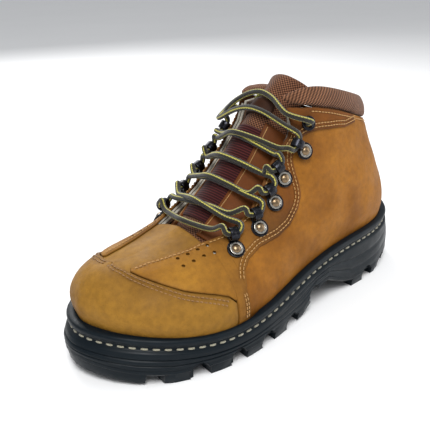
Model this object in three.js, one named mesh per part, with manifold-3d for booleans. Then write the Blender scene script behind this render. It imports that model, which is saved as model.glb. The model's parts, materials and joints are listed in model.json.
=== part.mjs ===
// Steel toe work boot, left foot, laced ankle height. Millimetres, +Z up, toe towards -X, lateral side
// towards -Y. The boot stands on z = 0 with its origin under the middle of its box.
import * as THREE from "three";
import { mergeVertices } from "three/addons/utils/BufferGeometryUtils.js";
import Module from "manifold-3d";

const wasm = await Module();
wasm.setup();

// ---------------------------------------------------------------- driving dimensions
const GAP = 0.3; // clearance between neighbouring pieces
const LEATHER = 1.7; // main leather thickness
const LEATHER_FACE = -0.5; // outer face of the main leather, measured from the last surface
const OVERLAY = 1.6; // overlay leather thickness
const MID = 1.7; // steel cap, counter and foam thickness
const LINING = 1.5; // lining thickness
const FEATHER_FOREFOOT = 20; // height of the insole under the ball
const FEATHER_TOE = 27; // height of the insole at the toe spring
const FEATHER_HEEL = 35; // height of the insole under the heel
const INSOLE = 2.0; // strobel insole thickness
const PLATE = 1.0; // puncture resistant plate thickness
const FOOTBED = 4.5; // removable footbed thickness
const WALL_OUT = 5.2; // how far the sole wall stands out past the upper
const TOE_BUMPER = 6.0; // extra rubber in front of the toe
const HEEL_KICK = 6.5; // extra rubber behind the heel
const LUG_DEPTH = 5.5; // tread depth
const OUTSOLE_SKIN = 3.5; // rubber between the tread and the midsole
const LUG_LENGTH = 19; // length of one edge lug
const LUG_PITCH = 28; // spacing of the edge lugs
const LUG_REACH = 24; // how far an edge lug reaches in from the sole edge
const SHANK_LENGTH = 96;
const SHANK_WIDTH = 15;
const SHANK_THICK = 1.8;
const THREAD_DIAMETER = 1.3; // welt thread
const THREAD_CLEAR = 0.35; // its extra way out from the groove's floor, which it cuts across between stations
const LOOP_WIDTH = 11.5; // lace loop plate
const LOOP_LENGTH = 14.5;
const LOOP_PLATE = 1.2;
const BARREL_OUTER = 8.6; // rolled end of the lace loop
const LACE_DIAMETER = 3.8;
const BARREL_BORE = LACE_DIAMETER + 1.6;
const BARREL_LENGTH = 6.0;
const RIVET_DIAMETER = 7.2;
const RIVET_RISE = 2.2;
const EYELET_OUTER = 10;
const EYELET_BORE = LACE_DIAMETER + 1.8;
const AGLET_LENGTH = 22;
const AGLET_DIAMETER = 4.4;

// ---------------------------------------------------------------- last surface
// Thirteen ribs a side, from the toe round to the heel. Each rib has six control points from the sole line
// to the top: x, z, and the distance out to the lateral and to the medial side.
const RIBS = [
  { x: [-128, -131, -130, -122, -112, -104], z: [39, 46, 55, 66, 69, 70],
    lat: [6, 6, 5, 4, 2, 0], med: [6, 6, 5, 4, 2, 0] },
  { x: [-122, -125, -124, -116, -107, -98], z: [39, 46, 55, 66, 70, 70],
    lat: [24, 26, 23, 16, 9, 0], med: [22, 24, 21, 14, 8, 0] },
  { x: [-107, -111, -110, -103, -95, -87], z: [37, 44, 54, 67, 71, 71],
    lat: [42, 45, 41, 29, 13, 0], med: [37, 40, 36, 25, 12, 0] },
  { x: [-84, -86, -85, -81, -77, -72], z: [33, 40, 53, 67, 73, 74],
    lat: [53, 56, 51, 36, 16, 0], med: [46, 49, 44, 31, 14, 0] },
  { x: [-58, -59, -58, -57, -56, -56], z: [31, 41, 54, 70, 77, 79],
    lat: [57, 60, 54, 38, 18, 0], med: [45, 48, 45, 34, 16, 0] },
  { x: [-28, -29, -31, -34, -38, -41], z: [33, 44, 58, 77, 87, 89],
    lat: [54, 57, 52, 38, 18, 0], med: [39, 43, 44, 35, 17, 0] },
  { x: [2, -1, -6, -13, -20, -24], z: [38, 49, 67, 89, 101, 103],
    lat: [47, 51, 48, 36, 18, 0], med: [33, 38, 42, 35, 18, 0] },
  { x: [30, 27, 20, 9, -2, -8], z: [43, 55, 78, 106, 120, 122],
    lat: [42, 46, 46, 35, 18, 0], med: [30, 36, 41, 35, 18, 0] },
  { x: [56, 54, 45, 31, 15, 8], z: [46, 58, 87, 123, 143, 147],
    lat: [39, 44, 45, 37, 23, 9], med: [30, 36, 40, 35, 23, 9] },
  { x: [80, 79, 72, 59, 41, 30], z: [48, 60, 87, 122, 151, 164],
    lat: [38, 43, 43, 37, 33, 29], med: [32, 38, 39, 35, 32, 28] },
  { x: [104, 104, 99, 88, 73, 62], z: [49, 60, 84, 114, 140, 156],
    lat: [36, 41, 38, 34, 34, 35], med: [33, 38, 36, 33, 32, 32] },
  { x: [130, 130, 125, 114, 102, 93], z: [51, 62, 82, 107, 130, 147],
    lat: [27, 31, 28, 25, 26, 28], med: [27, 31, 28, 25, 26, 28] },
  { x: [145, 146, 140, 128, 118, 112], z: [54, 66, 85, 106, 126, 142],
    lat: [9, 10, 9, 8, 9, 10], med: [9, 10, 9, 8, 9, 10] },
];
// s at the back of the heel: s runs 0 at the toe to HEEL, past it on the medial side
const HEEL = RIBS.length;
const AROUND = 2 * HEEL;
const KNOTS = [0, 0, 0, 0, 1 / 3, 2 / 3, 1, 1, 1, 1];

const NET = [];
for (const rib of RIBS) NET.push(rib.x.map((x, i) => [x, -rib.lat[i], rib.z[i]]));
for (const rib of [...RIBS].reverse()) NET.push(rib.x.map((x, i) => [x, rib.med[i], rib.z[i]]));

/** Cubic B-spline weights of the six control points of a rib at height t. */
function ribWeights(t) {
  const at = Math.min(Math.max(t, 0), 1 - 1e-9);
  let w = [];
  for (let i = 0; i < 9; i++) w.push(at >= KNOTS[i] && at < KNOTS[i + 1] ? 1 : 0);
  for (let degree = 1; degree <= 3; degree++) {
    const next = [];
    for (let i = 0; i < 9 - degree; i++) {
      const a = KNOTS[i + degree] - KNOTS[i];
      const b = KNOTS[i + degree + 1] - KNOTS[i + 1];
      next.push((a > 0 ? ((at - KNOTS[i]) / a) * w[i] : 0)
        + (b > 0 ? ((KNOTS[i + degree + 1] - at) / b) * w[i + 1] : 0));
    }
    w = next;
  }
  return w;
}

/** Weights of four neighbouring ribs of a uniform cubic B-spline. */
function loopWeights(u) {
  return [(1 - u) ** 3 / 6, (3 * u ** 3 - 6 * u ** 2 + 4) / 6, (-3 * u ** 3 + 3 * u ** 2 + 3 * u + 1) / 6,
    u ** 3 / 6];
}

/** Straight-line reading of a list of [at, value] pairs, held flat past its ends. */
function read(list, at) {
  if (at <= list[0][0]) return list[0][1];
  for (let i = 1; i < list.length; i++) {
    const [x0, y0] = list[i - 1];
    const [x1, y1] = list[i];
    if (at <= x1) return y0 + ((y1 - y0) * (at - x0)) / (x1 - x0);
  }
  return list[list.length - 1][1];
}

/** Height of the feather line, where the upper meets the insole. */
function featherHeight(x) {
  const line = [[-130, FEATHER_TOE], [-95, FEATHER_FOREFOOT + 1.5], [-65, FEATHER_FOREFOOT],
    [-25, FEATHER_FOREFOOT + 2]];
  line.push([15, FEATHER_FOREFOOT + 8], [50, FEATHER_HEEL - 2], [75, FEATHER_HEEL], [150, FEATHER_HEEL + 1]);
  return read(line, x);
}

const SKIRT_TUCK = 2.5; // how far the upper leans in between the sole line and the feather line

/** The part of the last surface above the sole line. */
function bodySurface(s, t) {
  const at = s - 0.5;
  const i = Math.floor(at);
  const a = loopWeights(at - i);
  const b = ribWeights(t);
  const p = [0, 0, 0];
  for (let k = 0; k < 4; k++) {
    const rib = NET[(((i - 1 + k) % AROUND) + AROUND) % AROUND];
    for (let j = 0; j < 6; j++) for (let c = 0; c < 3; c++) p[c] += a[k] * b[j] * rib[j][c];
  }
  return new THREE.Vector3(...p);
}

/** Level direction straight out from the boot at s, taken along the sole line. */
function outward(s) {
  const a = bodySurface(s - 0.05, 0);
  const b = bodySurface(s + 0.05, 0);
  return new THREE.Vector3(-(b.y - a.y), b.x - a.x, 0).normalize().multiplyScalar(-1);
}

/** Point of the last surface: t 0 is the sole line, 1 the top or the centre line, -1 the feather line. */
function surface(s, t) {
  if (t >= 0) return bodySurface(s, t);
  const p = bodySurface(s, 0);
  const drop = Math.min(-t, 1);
  p.addScaledVector(outward(s), -SKIRT_TUCK * drop);
  p.z += (featherHeight(p.x) - p.z) * drop;
  return p;
}

/** Unit normal of the last surface, facing out. */
function normal(s, t) {
  const e = 0.02;
  const ds = surface(s + e, t).sub(surface(s - e, t));
  const dt = surface(s, Math.min(t + e, 1)).sub(surface(s, Math.max(t - e, -1)));
  return ds.cross(dt).normalize();
}

/** Point at a distance d outside the last surface. */
function skin(s, t, d) {
  return surface(s, t).addScaledVector(normal(s, t), d);
}

// ---------------------------------------------------------------- mesh helpers
/** Closed BufferGeometry from quads of points. */
function geometryOf(points, triangles) {
  const g = new THREE.BufferGeometry();
  g.setAttribute("position", new THREE.Float32BufferAttribute(points.flatMap((p) => [p.x, p.y, p.z]), 3));
  g.setIndex(triangles.flat());
  const merged = mergeVertices(g, 1e-4);
  const index = merged.index.array;
  const kept = [];
  for (let i = 0; i < index.length; i += 3) {
    const [a, b, c] = index.slice(i, i + 3);
    if (a !== b && b !== c && a !== c) kept.push(a, b, c);
  }
  merged.setIndex(kept);
  return merged;
}

/** Solid of the manifold library from a geometry. */
function solidOf(geometry) {
  const g = mergeVertices(geometry.clone().deleteAttribute("normal").deleteAttribute("uv"), 1e-4);
  const vertProperties = new Float32Array(g.attributes.position.array);
  return new wasm.Manifold(new wasm.Mesh({ numProp: 3, vertProperties,
    triVerts: new Uint32Array(g.index.array) }));
}

/** Geometry of a solid of the manifold library. */
function geometryFrom(solid) {
  const mesh = solid.getMesh();
  const g = new THREE.BufferGeometry();
  g.setAttribute("position", new THREE.BufferAttribute(new Float32Array(mesh.vertProperties), 3));
  g.setIndex(new THREE.BufferAttribute(new Uint32Array(mesh.triVerts), 1));
  return g;
}

/** Solid turned right side out. */
function facingOut(points, triangles) {
  const g = geometryOf(points, triangles);
  let volume = 0;
  const [a, b, c] = [new THREE.Vector3(), new THREE.Vector3(), new THREE.Vector3()];
  for (let i = 0; i < g.index.count; i += 3) {
    a.fromBufferAttribute(g.attributes.position, g.index.getX(i));
    b.fromBufferAttribute(g.attributes.position, g.index.getX(i + 1));
    c.fromBufferAttribute(g.attributes.position, g.index.getX(i + 2));
    volume += a.dot(b.clone().cross(c));
  }
  if (volume > 0) return g;
  return geometryOf(points, triangles.map(([p, q, r]) => [p, r, q]));
}

/**
 * Thick sheet over a grid of columns. columns[i][j] holds the inner and outer point. A folded sheet starts
 * with a column whose two halves lie on each other, so it has no wall there.
 */
function sheet(columns, folded = false) {
  const rows = columns[0].length;
  const points = [];
  for (const column of columns) for (const [inner, outer] of column) points.push(inner, outer);
  const at = (i, j, side) => 2 * (i * rows + j) + side;
  const triangles = [];
  const quad = (a, b, c, d) => {
    const shorter = points[a].distanceTo(points[c]) <= points[b].distanceTo(points[d]) + 1e-6;
    triangles.push(...(shorter ? [[a, b, c], [a, c, d]] : [[a, b, d], [b, c, d]]));
  };
  const last = columns.length - 1;
  for (let i = 0; i < last; i++) {
    for (let j = 0; j < rows - 1; j++) {
      quad(at(i, j, 1), at(i + 1, j, 1), at(i + 1, j + 1, 1), at(i, j + 1, 1));
      quad(at(i, j, 0), at(i, j + 1, 0), at(i + 1, j + 1, 0), at(i + 1, j, 0));
    }
    quad(at(i, 0, 0), at(i + 1, 0, 0), at(i + 1, 0, 1), at(i, 0, 1));
    quad(at(i, rows - 1, 1), at(i + 1, rows - 1, 1), at(i + 1, rows - 1, 0), at(i, rows - 1, 0));
  }
  for (let j = 0; j < rows - 1; j++) {
    if (!folded) quad(at(0, j, 0), at(0, j, 1), at(0, j + 1, 1), at(0, j + 1, 0));
    quad(at(last, j, 0), at(last, j + 1, 0), at(last, j + 1, 1), at(last, j, 1));
  }
  return facingOut(points, triangles);
}

// Shared grid of the upper: neighbouring layers use the same columns and rows, so that their faces stay
// parallel.
const COLUMNS = [0, 0.5, 1, 1.5, 2, 2.45, 2.9, 3.3, 3.7, 4.05, 4.35, 4.6, 4.85, 5.1, 5.36, 5.8, 6.4, 6.9,
  7.35, 7.7, 8.05, 8.45, 8.85];
COLUMNS.push(9.3, 9.9, 10.65, 11.3, 11.9, 12.5, HEEL);
const ROWS = [-1, 0, 0.14, 0.28, 0.42, 0.55, 0.66, 0.77, 0.87, 1];

/** Grid columns from s0 to s1, with both ends; a column closer than the join to an end is left out. */
function columnsBetween(s0, s1) {
  const all = [...COLUMNS.map((s) => -s), ...COLUMNS, ...COLUMNS.map((s) => AROUND - s)];
  const inside = [...new Set(all)].filter((s) => s > s0 + 2 * JOIN && s < s1 - 2 * JOIN);
  return [s0, ...inside.sort((a, b) => a - b), s1];
}

/** Even steps from a to b. */
function steps(a, b, count) {
  return Array.from({ length: count + 1 }, (_, i) => a + ((b - a) * i) / count);
}

/**
 * Panel that stands on its columns between the heights bottom(s) and top(s), following the shared rows;
 * side -1 puts it on the medial side. inner and outer are the offsets of its two faces.
 */
function panel(columns, bottom, top, inner, outer, side = 1) {
  return sheet(
    columns.map((s) => {
      const [low, high] = [bottom(s), top(s)];
      return [low, ...ROWS.slice(1, -1), high].map((row) => {
        const t = Math.min(Math.max(row, low), high);
        return [skin(side * s, t, inner), skin(side * s, t, outer)];
      });
    }),
  );
}

/** Band that runs from the feather line up over the centre line and down the other side, from s0 to s1. */
function archBand(s0, s1, inner, outer) {
  const up = ROWS.map((t) => [1, t]);
  const over = [...up, ...up.slice(0, -1).reverse().map(([, t]) => [-1, t])];
  const columns = columnsBetween(s0, s1).map((s) =>
    over.map(([side, t]) => {
      const n = t === 1 ? normal(s, 1).setY(0).normalize() : normal(side * s, t);
      const p = surface(side * s, t);
      return [p.clone().addScaledVector(n, inner), p.clone().addScaledVector(n, outer)];
    }),
  );
  return sheet(columns, s0 === 0);
}

/** Solid from level loops stacked upwards; each loop is a list of points round from the toe to the toe. */
function stack(loops) {
  const n = loops[0].length;
  const half = n / 2;
  const points = loops.flat();
  const triangles = [];
  const quad = (a, b, c, d) => triangles.push([a, b, c], [a, c, d]);
  for (let k = 0; k < loops.length - 1; k++) {
    for (let i = 0; i < n; i++) {
      const j = (i + 1) % n;
      quad(k * n + i, k * n + j, (k + 1) * n + j, (k + 1) * n + i);
    }
  }
  const cap = (base, turn) => {
    for (let i = 0; i < half; i++) {
      const q = [base + i, base + i + 1, base + ((n - i - 1) % n), base + ((n - i) % n)];
      const face = turn ? q.reverse() : q;
      quad(...face);
    }
  };
  cap(0, true);
  cap((loops.length - 1) * n, false);
  return facingOut(points, triangles.filter(([a, b, c]) => a !== b && b !== c && a !== c));
}

/** Level loop round the boot: out(s) is the distance past the sole line, z(point, s) the height. */
function outline(out, z) {
  return columnsBetween(0, AROUND)
    .slice(0, -1)
    .map((s) => {
      const p = bodySurface(s, 0).addScaledVector(outward(s), out(s));
      p.z = z(p, s);
      return p;
    });
}

/** Extruded outline, standing on its own local z from 0 to depth. */
function plate(shape, depth, curveSegments = 8) {
  return new THREE.ExtrudeGeometry(shape, { depth, bevelEnabled: false, curveSegments });
}

/** Round section drawn as a polygon. */
function roundSection(radius, sides) {
  const turn = (2 * Math.PI) / sides;
  const corner = (i) => new THREE.Vector2(radius * Math.cos(i * turn), radius * Math.sin(i * turn));
  return new THREE.Shape(steps(0, sides - 1, sides - 1).map(corner));
}

/** Solid of revolution about local z from [radius, height] points. */
function turned(profile, segments = 14) {
  const g = new THREE.LatheGeometry(profile.map(([r, h]) => new THREE.Vector2(r, h)), segments);
  return g.rotateX(Math.PI / 2);
}

// ---------------------------------------------------------------- model
const boot = new THREE.Group();

const COLOURS = {
  rubber: [0x1f2c36, 0.62, 0.0],
  leatherTan: [0xb98336, 0.66, 0.0],
  leatherBrown: [0x8f5c20, 0.66, 0.0],
  mesh: [0x8d6246, 0.9, 0.0],
  lining: [0x6b4a36, 0.92, 0.0],
  thread: [0xcdbd93, 0.85, 0.0],
  steel: [0x9aa0a6, 0.38, 0.9],
  blackNickel: [0x2b2724, 0.3, 0.9],
  rivet: [0x6a5a4a, 0.28, 0.95],
  board: [0xb8a27c, 0.9, 0.0],
  foam: [0x3b3a38, 0.95, 0.0],
  lace: [0x2a211a, 0.85, 0.0],
  tongueFabric: [0x5a2a18, 0.9, 0.0],
  aglet: [0x1a1a1a, 0.4, 0.0],
};

/** Adds one named piece to the boot. */
function add(name, geometry, finish) {
  const [color, roughness, metalness] = COLOURS[finish];
  const mesh = new THREE.Mesh(geometry, new THREE.MeshStandardMaterial({ color, roughness, metalness }));
  mesh.name = name;
  boot.add(mesh);
  return mesh;
}

// ---------------------------------------------------------------- layer faces, from the last surface
const FOAM_GAP = 0.45; // between the leather and the layer under it
const MAIN = [LEATHER_FACE - LEATHER, LEATHER_FACE];
const TOP = [LEATHER_FACE + GAP, LEATHER_FACE + GAP + OVERLAY];
const MIDDLE = [MAIN[0] - FOAM_GAP - MID, MAIN[0] - FOAM_GAP];
const BACKING = [MAIN[0], MAIN[1] - 0.25];
const INNER = [MIDDLE[0] - GAP - LINING, MIDDLE[0] - GAP];

// ---------------------------------------------------------------- pattern lines of the upper, as [s, t]
const VAMP_END = 4.58; // s of the throat edge of the vamp
const TOE_OVERLAY_END = 4.57; // s of the back edge of the toe overlay
const SHAFT_START = 4.62; // s of the front edge of the quarters and the shaft lining
const JOIN = 0.03; // clearance in s between pieces laid edge to edge
const TOE_SEAM = [[0, 0.97], [0.9, 0.93], [1.8, 0.82], [2.6, 0.65], [3.4, 0.465], [4.1, 0.34], [4.42, 0.27],
  [4.57, 0.2]];
const QUARTER_TOP = [[4.62, 0.18], [4.85, 0.26], [5.1, 0.44], [5.36, 0.51], [5.9, 0.52], [6.5, 0.46],
  [6.9, 0.45]];
QUARTER_TOP.push([7.3, 0.49], [7.5, 0.57], [7.65, 0.65], [7.85, 0.72], [8.4, 0.79], [9.0, 0.84],
  [9.6, 0.868], [13, 0.86]);
const EYESTAY_EDGE = [[4.62, 0.8], [4.75, 0.79], [5.3, 0.745], [6.2, 0.725], [6.9, 0.755], [7.5, 0.795],
  [8.0, 0.8]];
EYESTAY_EDGE.push([8.3, 0.81], [8.6, 0.85], [8.85, 0.94], [9.1, 0.9], [9.6, 0.872], [10.1, 0.862],
  [13, 0.86]);
const COLLAR_FRONT = 8.98;
const COLLAR_BASE = [[8.95, 0.952], [9.2, 0.907], [9.6, 0.88], [10.2, 0.8735], [13, 0.8665]];
const COLLAR_TOP = { 1: [[8.9, 1], [13, 1]],
  "-1": [[8.9, 0.985], [9.6, 0.95], [10.6, 0.96], [12, 1], [13, 1]] };
const PLUG_SEAM = [[2.0, 0.825], [2.7, 0.85], [3.5, 0.84], [4.1, 0.82], [4.45, 0.815], [4.62, 0.8]];
const QUARTER_SEAM = [[4.92, 0.24], [5.1, 0.41], [5.36, 0.47], [5.82, 0.48], [6.46, 0.42], [6.91, 0.41],
  [7.35, 0.45]];
QUARTER_SEAM.push([7.6, 0.5], [7.72, 0.56], [7.82, 0.63], [7.98, 0.7], [8.3, 0.745], [8.7, 0.76],
  [9.4, 0.745]);
QUARTER_SEAM.push([10, 0.755], [10.6, 0.81]);
// Lace loops, from the toe up: rivet [s, t] and the middle of the rolled end [s, t].
const LOOPS = [
  [5.16, 0.6, 5.31, 0.7],
  [6.09, 0.59, 6.19, 0.68],
  [6.87, 0.62, 6.92, 0.71],
  [7.47, 0.67, 7.5, 0.75],
  [8.35, 0.69, 8.27, 0.74],
];
const TOP_EYELET = [8.93, 0.81];
const CAP_END = 3.3; // s of the back edge of the steel cap
const CAP_STRIP = 0.4; // width in s of the soft strip behind the cap
const COUNTER_START = 10.65; // s of the front edge of the heel counter
const COUNTER_TOP = 0.55;

// ---------------------------------------------------------------- sole
// Underside of the tread along the boot: toe spring, forefoot, arch, heel.
const TREAD = [[-145, 14], [-120, 8.5], [-100, 6], [8, 6], [17, 9], [28, 15.8], [44, 17.4], [60, 10],
  [72, 6], [135, 6], [152, 11]];
const tread = (x) => read(TREAD, x);
const treadBase = (x) => tread(x) + LUG_DEPTH;
const outsoleTop = (x) => treadBase(x) + OUTSOLE_SKIN;
const fromToe = (s) => Math.min(s, AROUND - s);
const bumper = (s) => (TOE_BUMPER * (1 + Math.cos(Math.PI * Math.min(fromToe(s) / 3.6, 1)))) / 2;
const heelKick = (s) => (HEEL_KICK * (1 + Math.cos(Math.PI * Math.min((HEEL - fromToe(s)) / 1.9, 1)))) / 2;
const wall = (s) => WALL_OUT + bumper(s) + heelKick(s);
const bead = (s) => WALL_OUT - 0.5 + 0.5 * bumper(s);
const OVERLAY_ENDS = [[5.0, TOP[1]], [5.3, MAIN[1]]]; // how far the upper stands out where it enters the sole
const upperFace = (s) => read(OVERLAY_ENDS, fromToe(s));
const CUP_EASE = 0.45; // clearance between the upper and the cup
const RIM_WIDTH = 1.3;
const BEAD_HEIGHT = 5.5;
const GROOVE_DEPTH = 1.9;
const rim = (p, s) => bodySurface(s, 0).z;

/** Rubber outsole: a wrapped base with a toe lug, edge lugs and centre lugs. */
function rubberOutsole() {
  const base = solidOf(
    stack([
      outline((s) => wall(s) - 1.6, (p) => treadBase(p.x)),
      outline((s) => wall(s) - 0.3, (p) => treadBase(p.x) + 1.5),
      outline((s) => wall(s) - 0.5, (p) => outsoleTop(p.x)),
    ]),
  );
  const lugSlab = solidOf(
    stack([
      outline((s) => wall(s) - 2.2, (p) => tread(p.x)),
      outline((s) => wall(s) - 0.7, (p) => treadBase(p.x) + 1),
    ]),
  );
  const blocks = [];
  const block = (corners) => {
    const shape = new THREE.Shape(corners.map(([x, y]) => new THREE.Vector2(x, y)));
    blocks.push(solidOf(plate(shape, 60).translate(0, 0, -10)));
  };
  const forefootStarts = [0, 1, 2, 3, 4].map((i) => -109 + LUG_PITCH * i);
  const edgeStarts = forefootStarts.concat([0, 1, 2].map((i) => 72 + LUG_PITCH * i));
  for (const x of edgeStarts) {
    const edge = bodySurfaceHalfWidth(x + LUG_LENGTH / 2);
    for (const side of [-1, 1]) {
      const reach = edge[side] - LUG_REACH + WALL_OUT;
      block([[x, side * 90], [x + LUG_LENGTH, side * 90], [x + LUG_LENGTH + 4, side * reach],
        [x + 6, side * reach]]);
    }
  }
  block([[-170, -90], [-118, -90], [-112, -12], [-112, 8], [-118, 90], [-170, 90]]);
  for (const x of [0, 1, 2, 3].map((i) => -95 + LUG_PITCH * i).concat([86, 112])) {
    const y = x > 50 ? 0 : -4;
    const half = x > 50 ? 9 : 15;
    block([[x, y - half], [x + 8, y], [x, y + half], [x + 11, y + half], [x + 19, y], [x + 11, y - half]]);
  }
  const lugs = blocks.reduce((all, one) => all.add(one)).intersect(lugSlab);
  return geometryFrom(base.add(lugs));
}

/** Distances of the sole line from the middle plane at x, on the lateral (-1) and the medial (1) side. */
function bodySurfaceHalfWidth(x) {
  const found = { "-1": 20, 1: 20 };
  for (const s of steps(0, HEEL, 80)) {
    const [a, b] = [bodySurface(s, 0), bodySurface(AROUND - s, 0)];
    if (Math.abs(a.x - x) < 3) found[-1] = Math.max(found[-1], -a.y);
    if (Math.abs(b.x - x) < 3) found[1] = Math.max(found[1], b.y);
  }
  return found;
}

const SHANK_FROM = -30;
const SHANK_SIDE = -6; // the shank lies under the middle of the arch
const cupFloor = (x) => featherHeight(x) - INSOLE - 2 * GAP;

/** Bar along x with level sides; low and high give its heights. */
function bar(x0, x1, y, halfWidth, low, high) {
  const columns = steps(x0, x1, 12).map((x) =>
    [y - halfWidth, y + halfWidth].map((side) => [new THREE.Vector3(x, side, low(x)),
      new THREE.Vector3(x, side, high(x))]),
  );
  return sheet(columns);
}

/** Midsole cup: side wall, bead and groove, hollowed for the upper, with a slot for the shank. */
function midsoleCup() {
  const outer = solidOf(
    stack([
      outline((s) => wall(s) - 0.5, (p) => outsoleTop(p.x) + GAP),
      outline(wall, (p, s) => outsoleTop(p.x) + 0.35 * (rim(p, s) - outsoleTop(p.x))),
      outline((s) => wall(s) - 0.4, (p, s) => rim(p, s) - BEAD_HEIGHT - 4),
      outline((s) => bead(s) - GROOVE_DEPTH, (p, s) => rim(p, s) - BEAD_HEIGHT - 1.5),
      outline(bead, (p, s) => rim(p, s) - BEAD_HEIGHT + 1.5),
      outline((s) => bead(s) - 0.9, (p, s) => rim(p, s) - 1),
      outline((s) => upperFace(s) + CUP_EASE + RIM_WIDTH, rim),
    ]),
  );
  const cavity = solidOf(
    stack([
      outline((s) => upperFace(s) + CUP_EASE - SKIRT_TUCK, (p) => cupFloor(p.x)),
      outline((s) => upperFace(s) + CUP_EASE - SKIRT_TUCK, (p) => featherHeight(p.x)),
      outline((s) => upperFace(s) + CUP_EASE, rim),
      outline((s) => upperFace(s) + CUP_EASE + 2, (p, s) => rim(p, s) + 8),
    ]),
  );
  const slot = solidOf(
    bar(SHANK_FROM - GAP, SHANK_FROM + SHANK_LENGTH + GAP, SHANK_SIDE, SHANK_WIDTH / 2 + GAP,
      (x) => cupFloor(x) - SHANK_THICK - GAP, (x) => cupFloor(x) + 1),
  );
  return geometryFrom(outer.subtract(cavity).subtract(slot));
}

add("rubber_outsole", rubberOutsole(), "rubber");
add("midsole_cup", midsoleCup(), "rubber");
add(
  "steel_shank",
  bar(SHANK_FROM, SHANK_FROM + SHANK_LENGTH, SHANK_SIDE, SHANK_WIDTH / 2, (x) => cupFloor(x) - SHANK_THICK,
    cupFloor),
  "steel",
);

/** Flat layer inside the boot, from low to high above the feather line. */
function insoleLayer(inset, low, high) {
  const edge = (s) => -SKIRT_TUCK - inset;
  return stack([outline(edge, (p) => featherHeight(p.x) + low),
    outline(edge, (p) => featherHeight(p.x) + high)]);
}

const INSIDE = -INNER[0] + GAP; // inset of what lies within the lining
add("strobel_insole", insoleLayer(-MAIN[1], -GAP - INSOLE, -GAP), "board");
add("puncture_plate", insoleLayer(INSIDE + 0.5, 0, PLATE), "steel");
add("footbed", insoleLayer(INSIDE + 0.6, PLATE + GAP, PLATE + GAP + FOOTBED), "lining");

/** Welt thread lying in the groove under the bead, round the forefoot. */
function weltThread() {
  const seat = (s) => {
    const out = bead(Math.abs(s)) - GROOVE_DEPTH + GAP + THREAD_DIAMETER / 2 + THREAD_CLEAR;
    const p = bodySurface(s, 0).addScaledVector(outward(s), out);
    p.z -= BEAD_HEIGHT + 1.5;
    return p;
  };
  const curve = new THREE.CatmullRomCurve3(steps(-5.4, 5.4, 44).map(seat));
  return new THREE.ExtrudeGeometry(roundSection(THREAD_DIAMETER / 2, 5), { steps: 44, extrudePath: curve });
}
add("welt_thread", weltThread(), "thread");

// ---------------------------------------------------------------- upper, from the inside out
const sideNames = [["lateral", 1], ["medial", -1]];

const feather = () => -1;
const liningTop = (s) => read(EYESTAY_EDGE, fromToe(s)) - 0.012;
const quarterTop = (s) => read(QUARTER_TOP, s);

add("forefoot_lining", archBand(0, VAMP_END, ...INNER), "lining");
add("steel_toe_cap", archBand(0, CAP_END, ...MIDDLE), "steel");
add("toe_cap_strip", archBand(CAP_END + JOIN, CAP_END + CAP_STRIP, ...MIDDLE), "foam");
add("vamp_interlining", archBand(CAP_END + CAP_STRIP + JOIN, VAMP_END, ...MIDDLE), "foam");
const counterColumns = columnsBetween(COUNTER_START, AROUND - COUNTER_START);
add("heel_counter", panel(counterColumns, feather, () => COUNTER_TOP, ...MIDDLE), "board");
add("heel_foam", panel(counterColumns, () => COUNTER_TOP + 0.01, () => 0.85, ...MIDDLE), "foam");
add("vamp", archBand(0, VAMP_END, ...MAIN), "leatherTan");
const toeSeam = (s) => read(TOE_SEAM, Math.abs(s));
add("toe_overlay", panel(columnsBetween(-TOE_OVERLAY_END, TOE_OVERLAY_END), feather, toeSeam, ...TOP),
  "leatherTan");

/** Straight hole along the surface normal at the top eyelet. */
function eyeletHole(side) {
  const [s, t] = TOP_EYELET;
  const n = normal(side * s, t);
  const hole = new THREE.CylinderGeometry(EYELET_BORE / 2, EYELET_BORE / 2, 30, 12).deleteAttribute("normal");
  hole.applyQuaternion(new THREE.Quaternion().setFromUnitVectors(new THREE.Vector3(0, 1, 0), n));
  const p = skin(side * s, t, 0);
  return solidOf(hole.translate(p.x, p.y, p.z));
}

/** Geometry with the top eyelet's hole cut through it. */
function punched(geometry, ...sides) {
  return geometryFrom(sides.reduce((solid, side) => solid.subtract(eyeletHole(side)), solidOf(geometry)));
}

/** Lower edge of the side panel: the toe overlay, the sole, then the quarter seam. */
function sidePanelBottom(s) {
  if (s < TOE_OVERLAY_END + JOIN) return toeSeam(s) + 0.012;
  return s <= QUARTER_SEAM[0][0] ? -1 : read(QUARTER_SEAM, s);
}

/** Upper edge of the side panel: the plug seam, then the edge of the eyestay. */
const sidePanelTop = (s) => read(s < SHAFT_START ? PLUG_SEAM : EYESTAY_EDGE, s);

const shaftColumns = columnsBetween(SHAFT_START, AROUND - SHAFT_START);
add("shaft_lining", punched(panel(shaftColumns, feather, liningTop, ...INNER), 1, -1), "lining");
for (const [name, side] of sideNames) {
  const ankle = columnsBetween(SHAFT_START, COUNTER_START - JOIN);
  add("ankle_foam_" + name, punched(panel(ankle, feather, liningTop, ...MIDDLE, side), side), "foam");
  const quarter = columnsBetween(SHAFT_START, HEEL - JOIN / 2);
  add("quarter_" + name, punched(panel(quarter, feather, quarterTop, ...MAIN, side), side), "leatherBrown");
  const under = (s) => quarterTop(s) + 0.012;
  const backing = columnsBetween(SHAFT_START, 8.8);
  add("eyestay_backing_" + name, panel(backing, under, liningTop, ...BACKING, side), "foam");
  const facing = columnsBetween(2.02, 10.6).filter((s) => Math.abs(s - SHAFT_START) > JOIN);
  const turns = [TOE_OVERLAY_END + 0.02, TOE_OVERLAY_END + 0.04, 4.92, 4.93, 7.58, 8.25];
  const joined = [...facing, ...turns].sort((a, b) => a - b);
  add("side_panel_" + name, punched(panel(joined, sidePanelBottom, sidePanelTop, ...TOP, side), side),
    "leatherBrown");
}

const PAD_INNER = [[COLLAR_FRONT, 2.4], [10.2, 8], [HEEL, 8]]; // how far the collar pad reaches in, along s
const PAD_OUTER = 0.8; // and how far it stands out
const PAD_CROWN = 1.6; // extra swell along its middle

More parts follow.
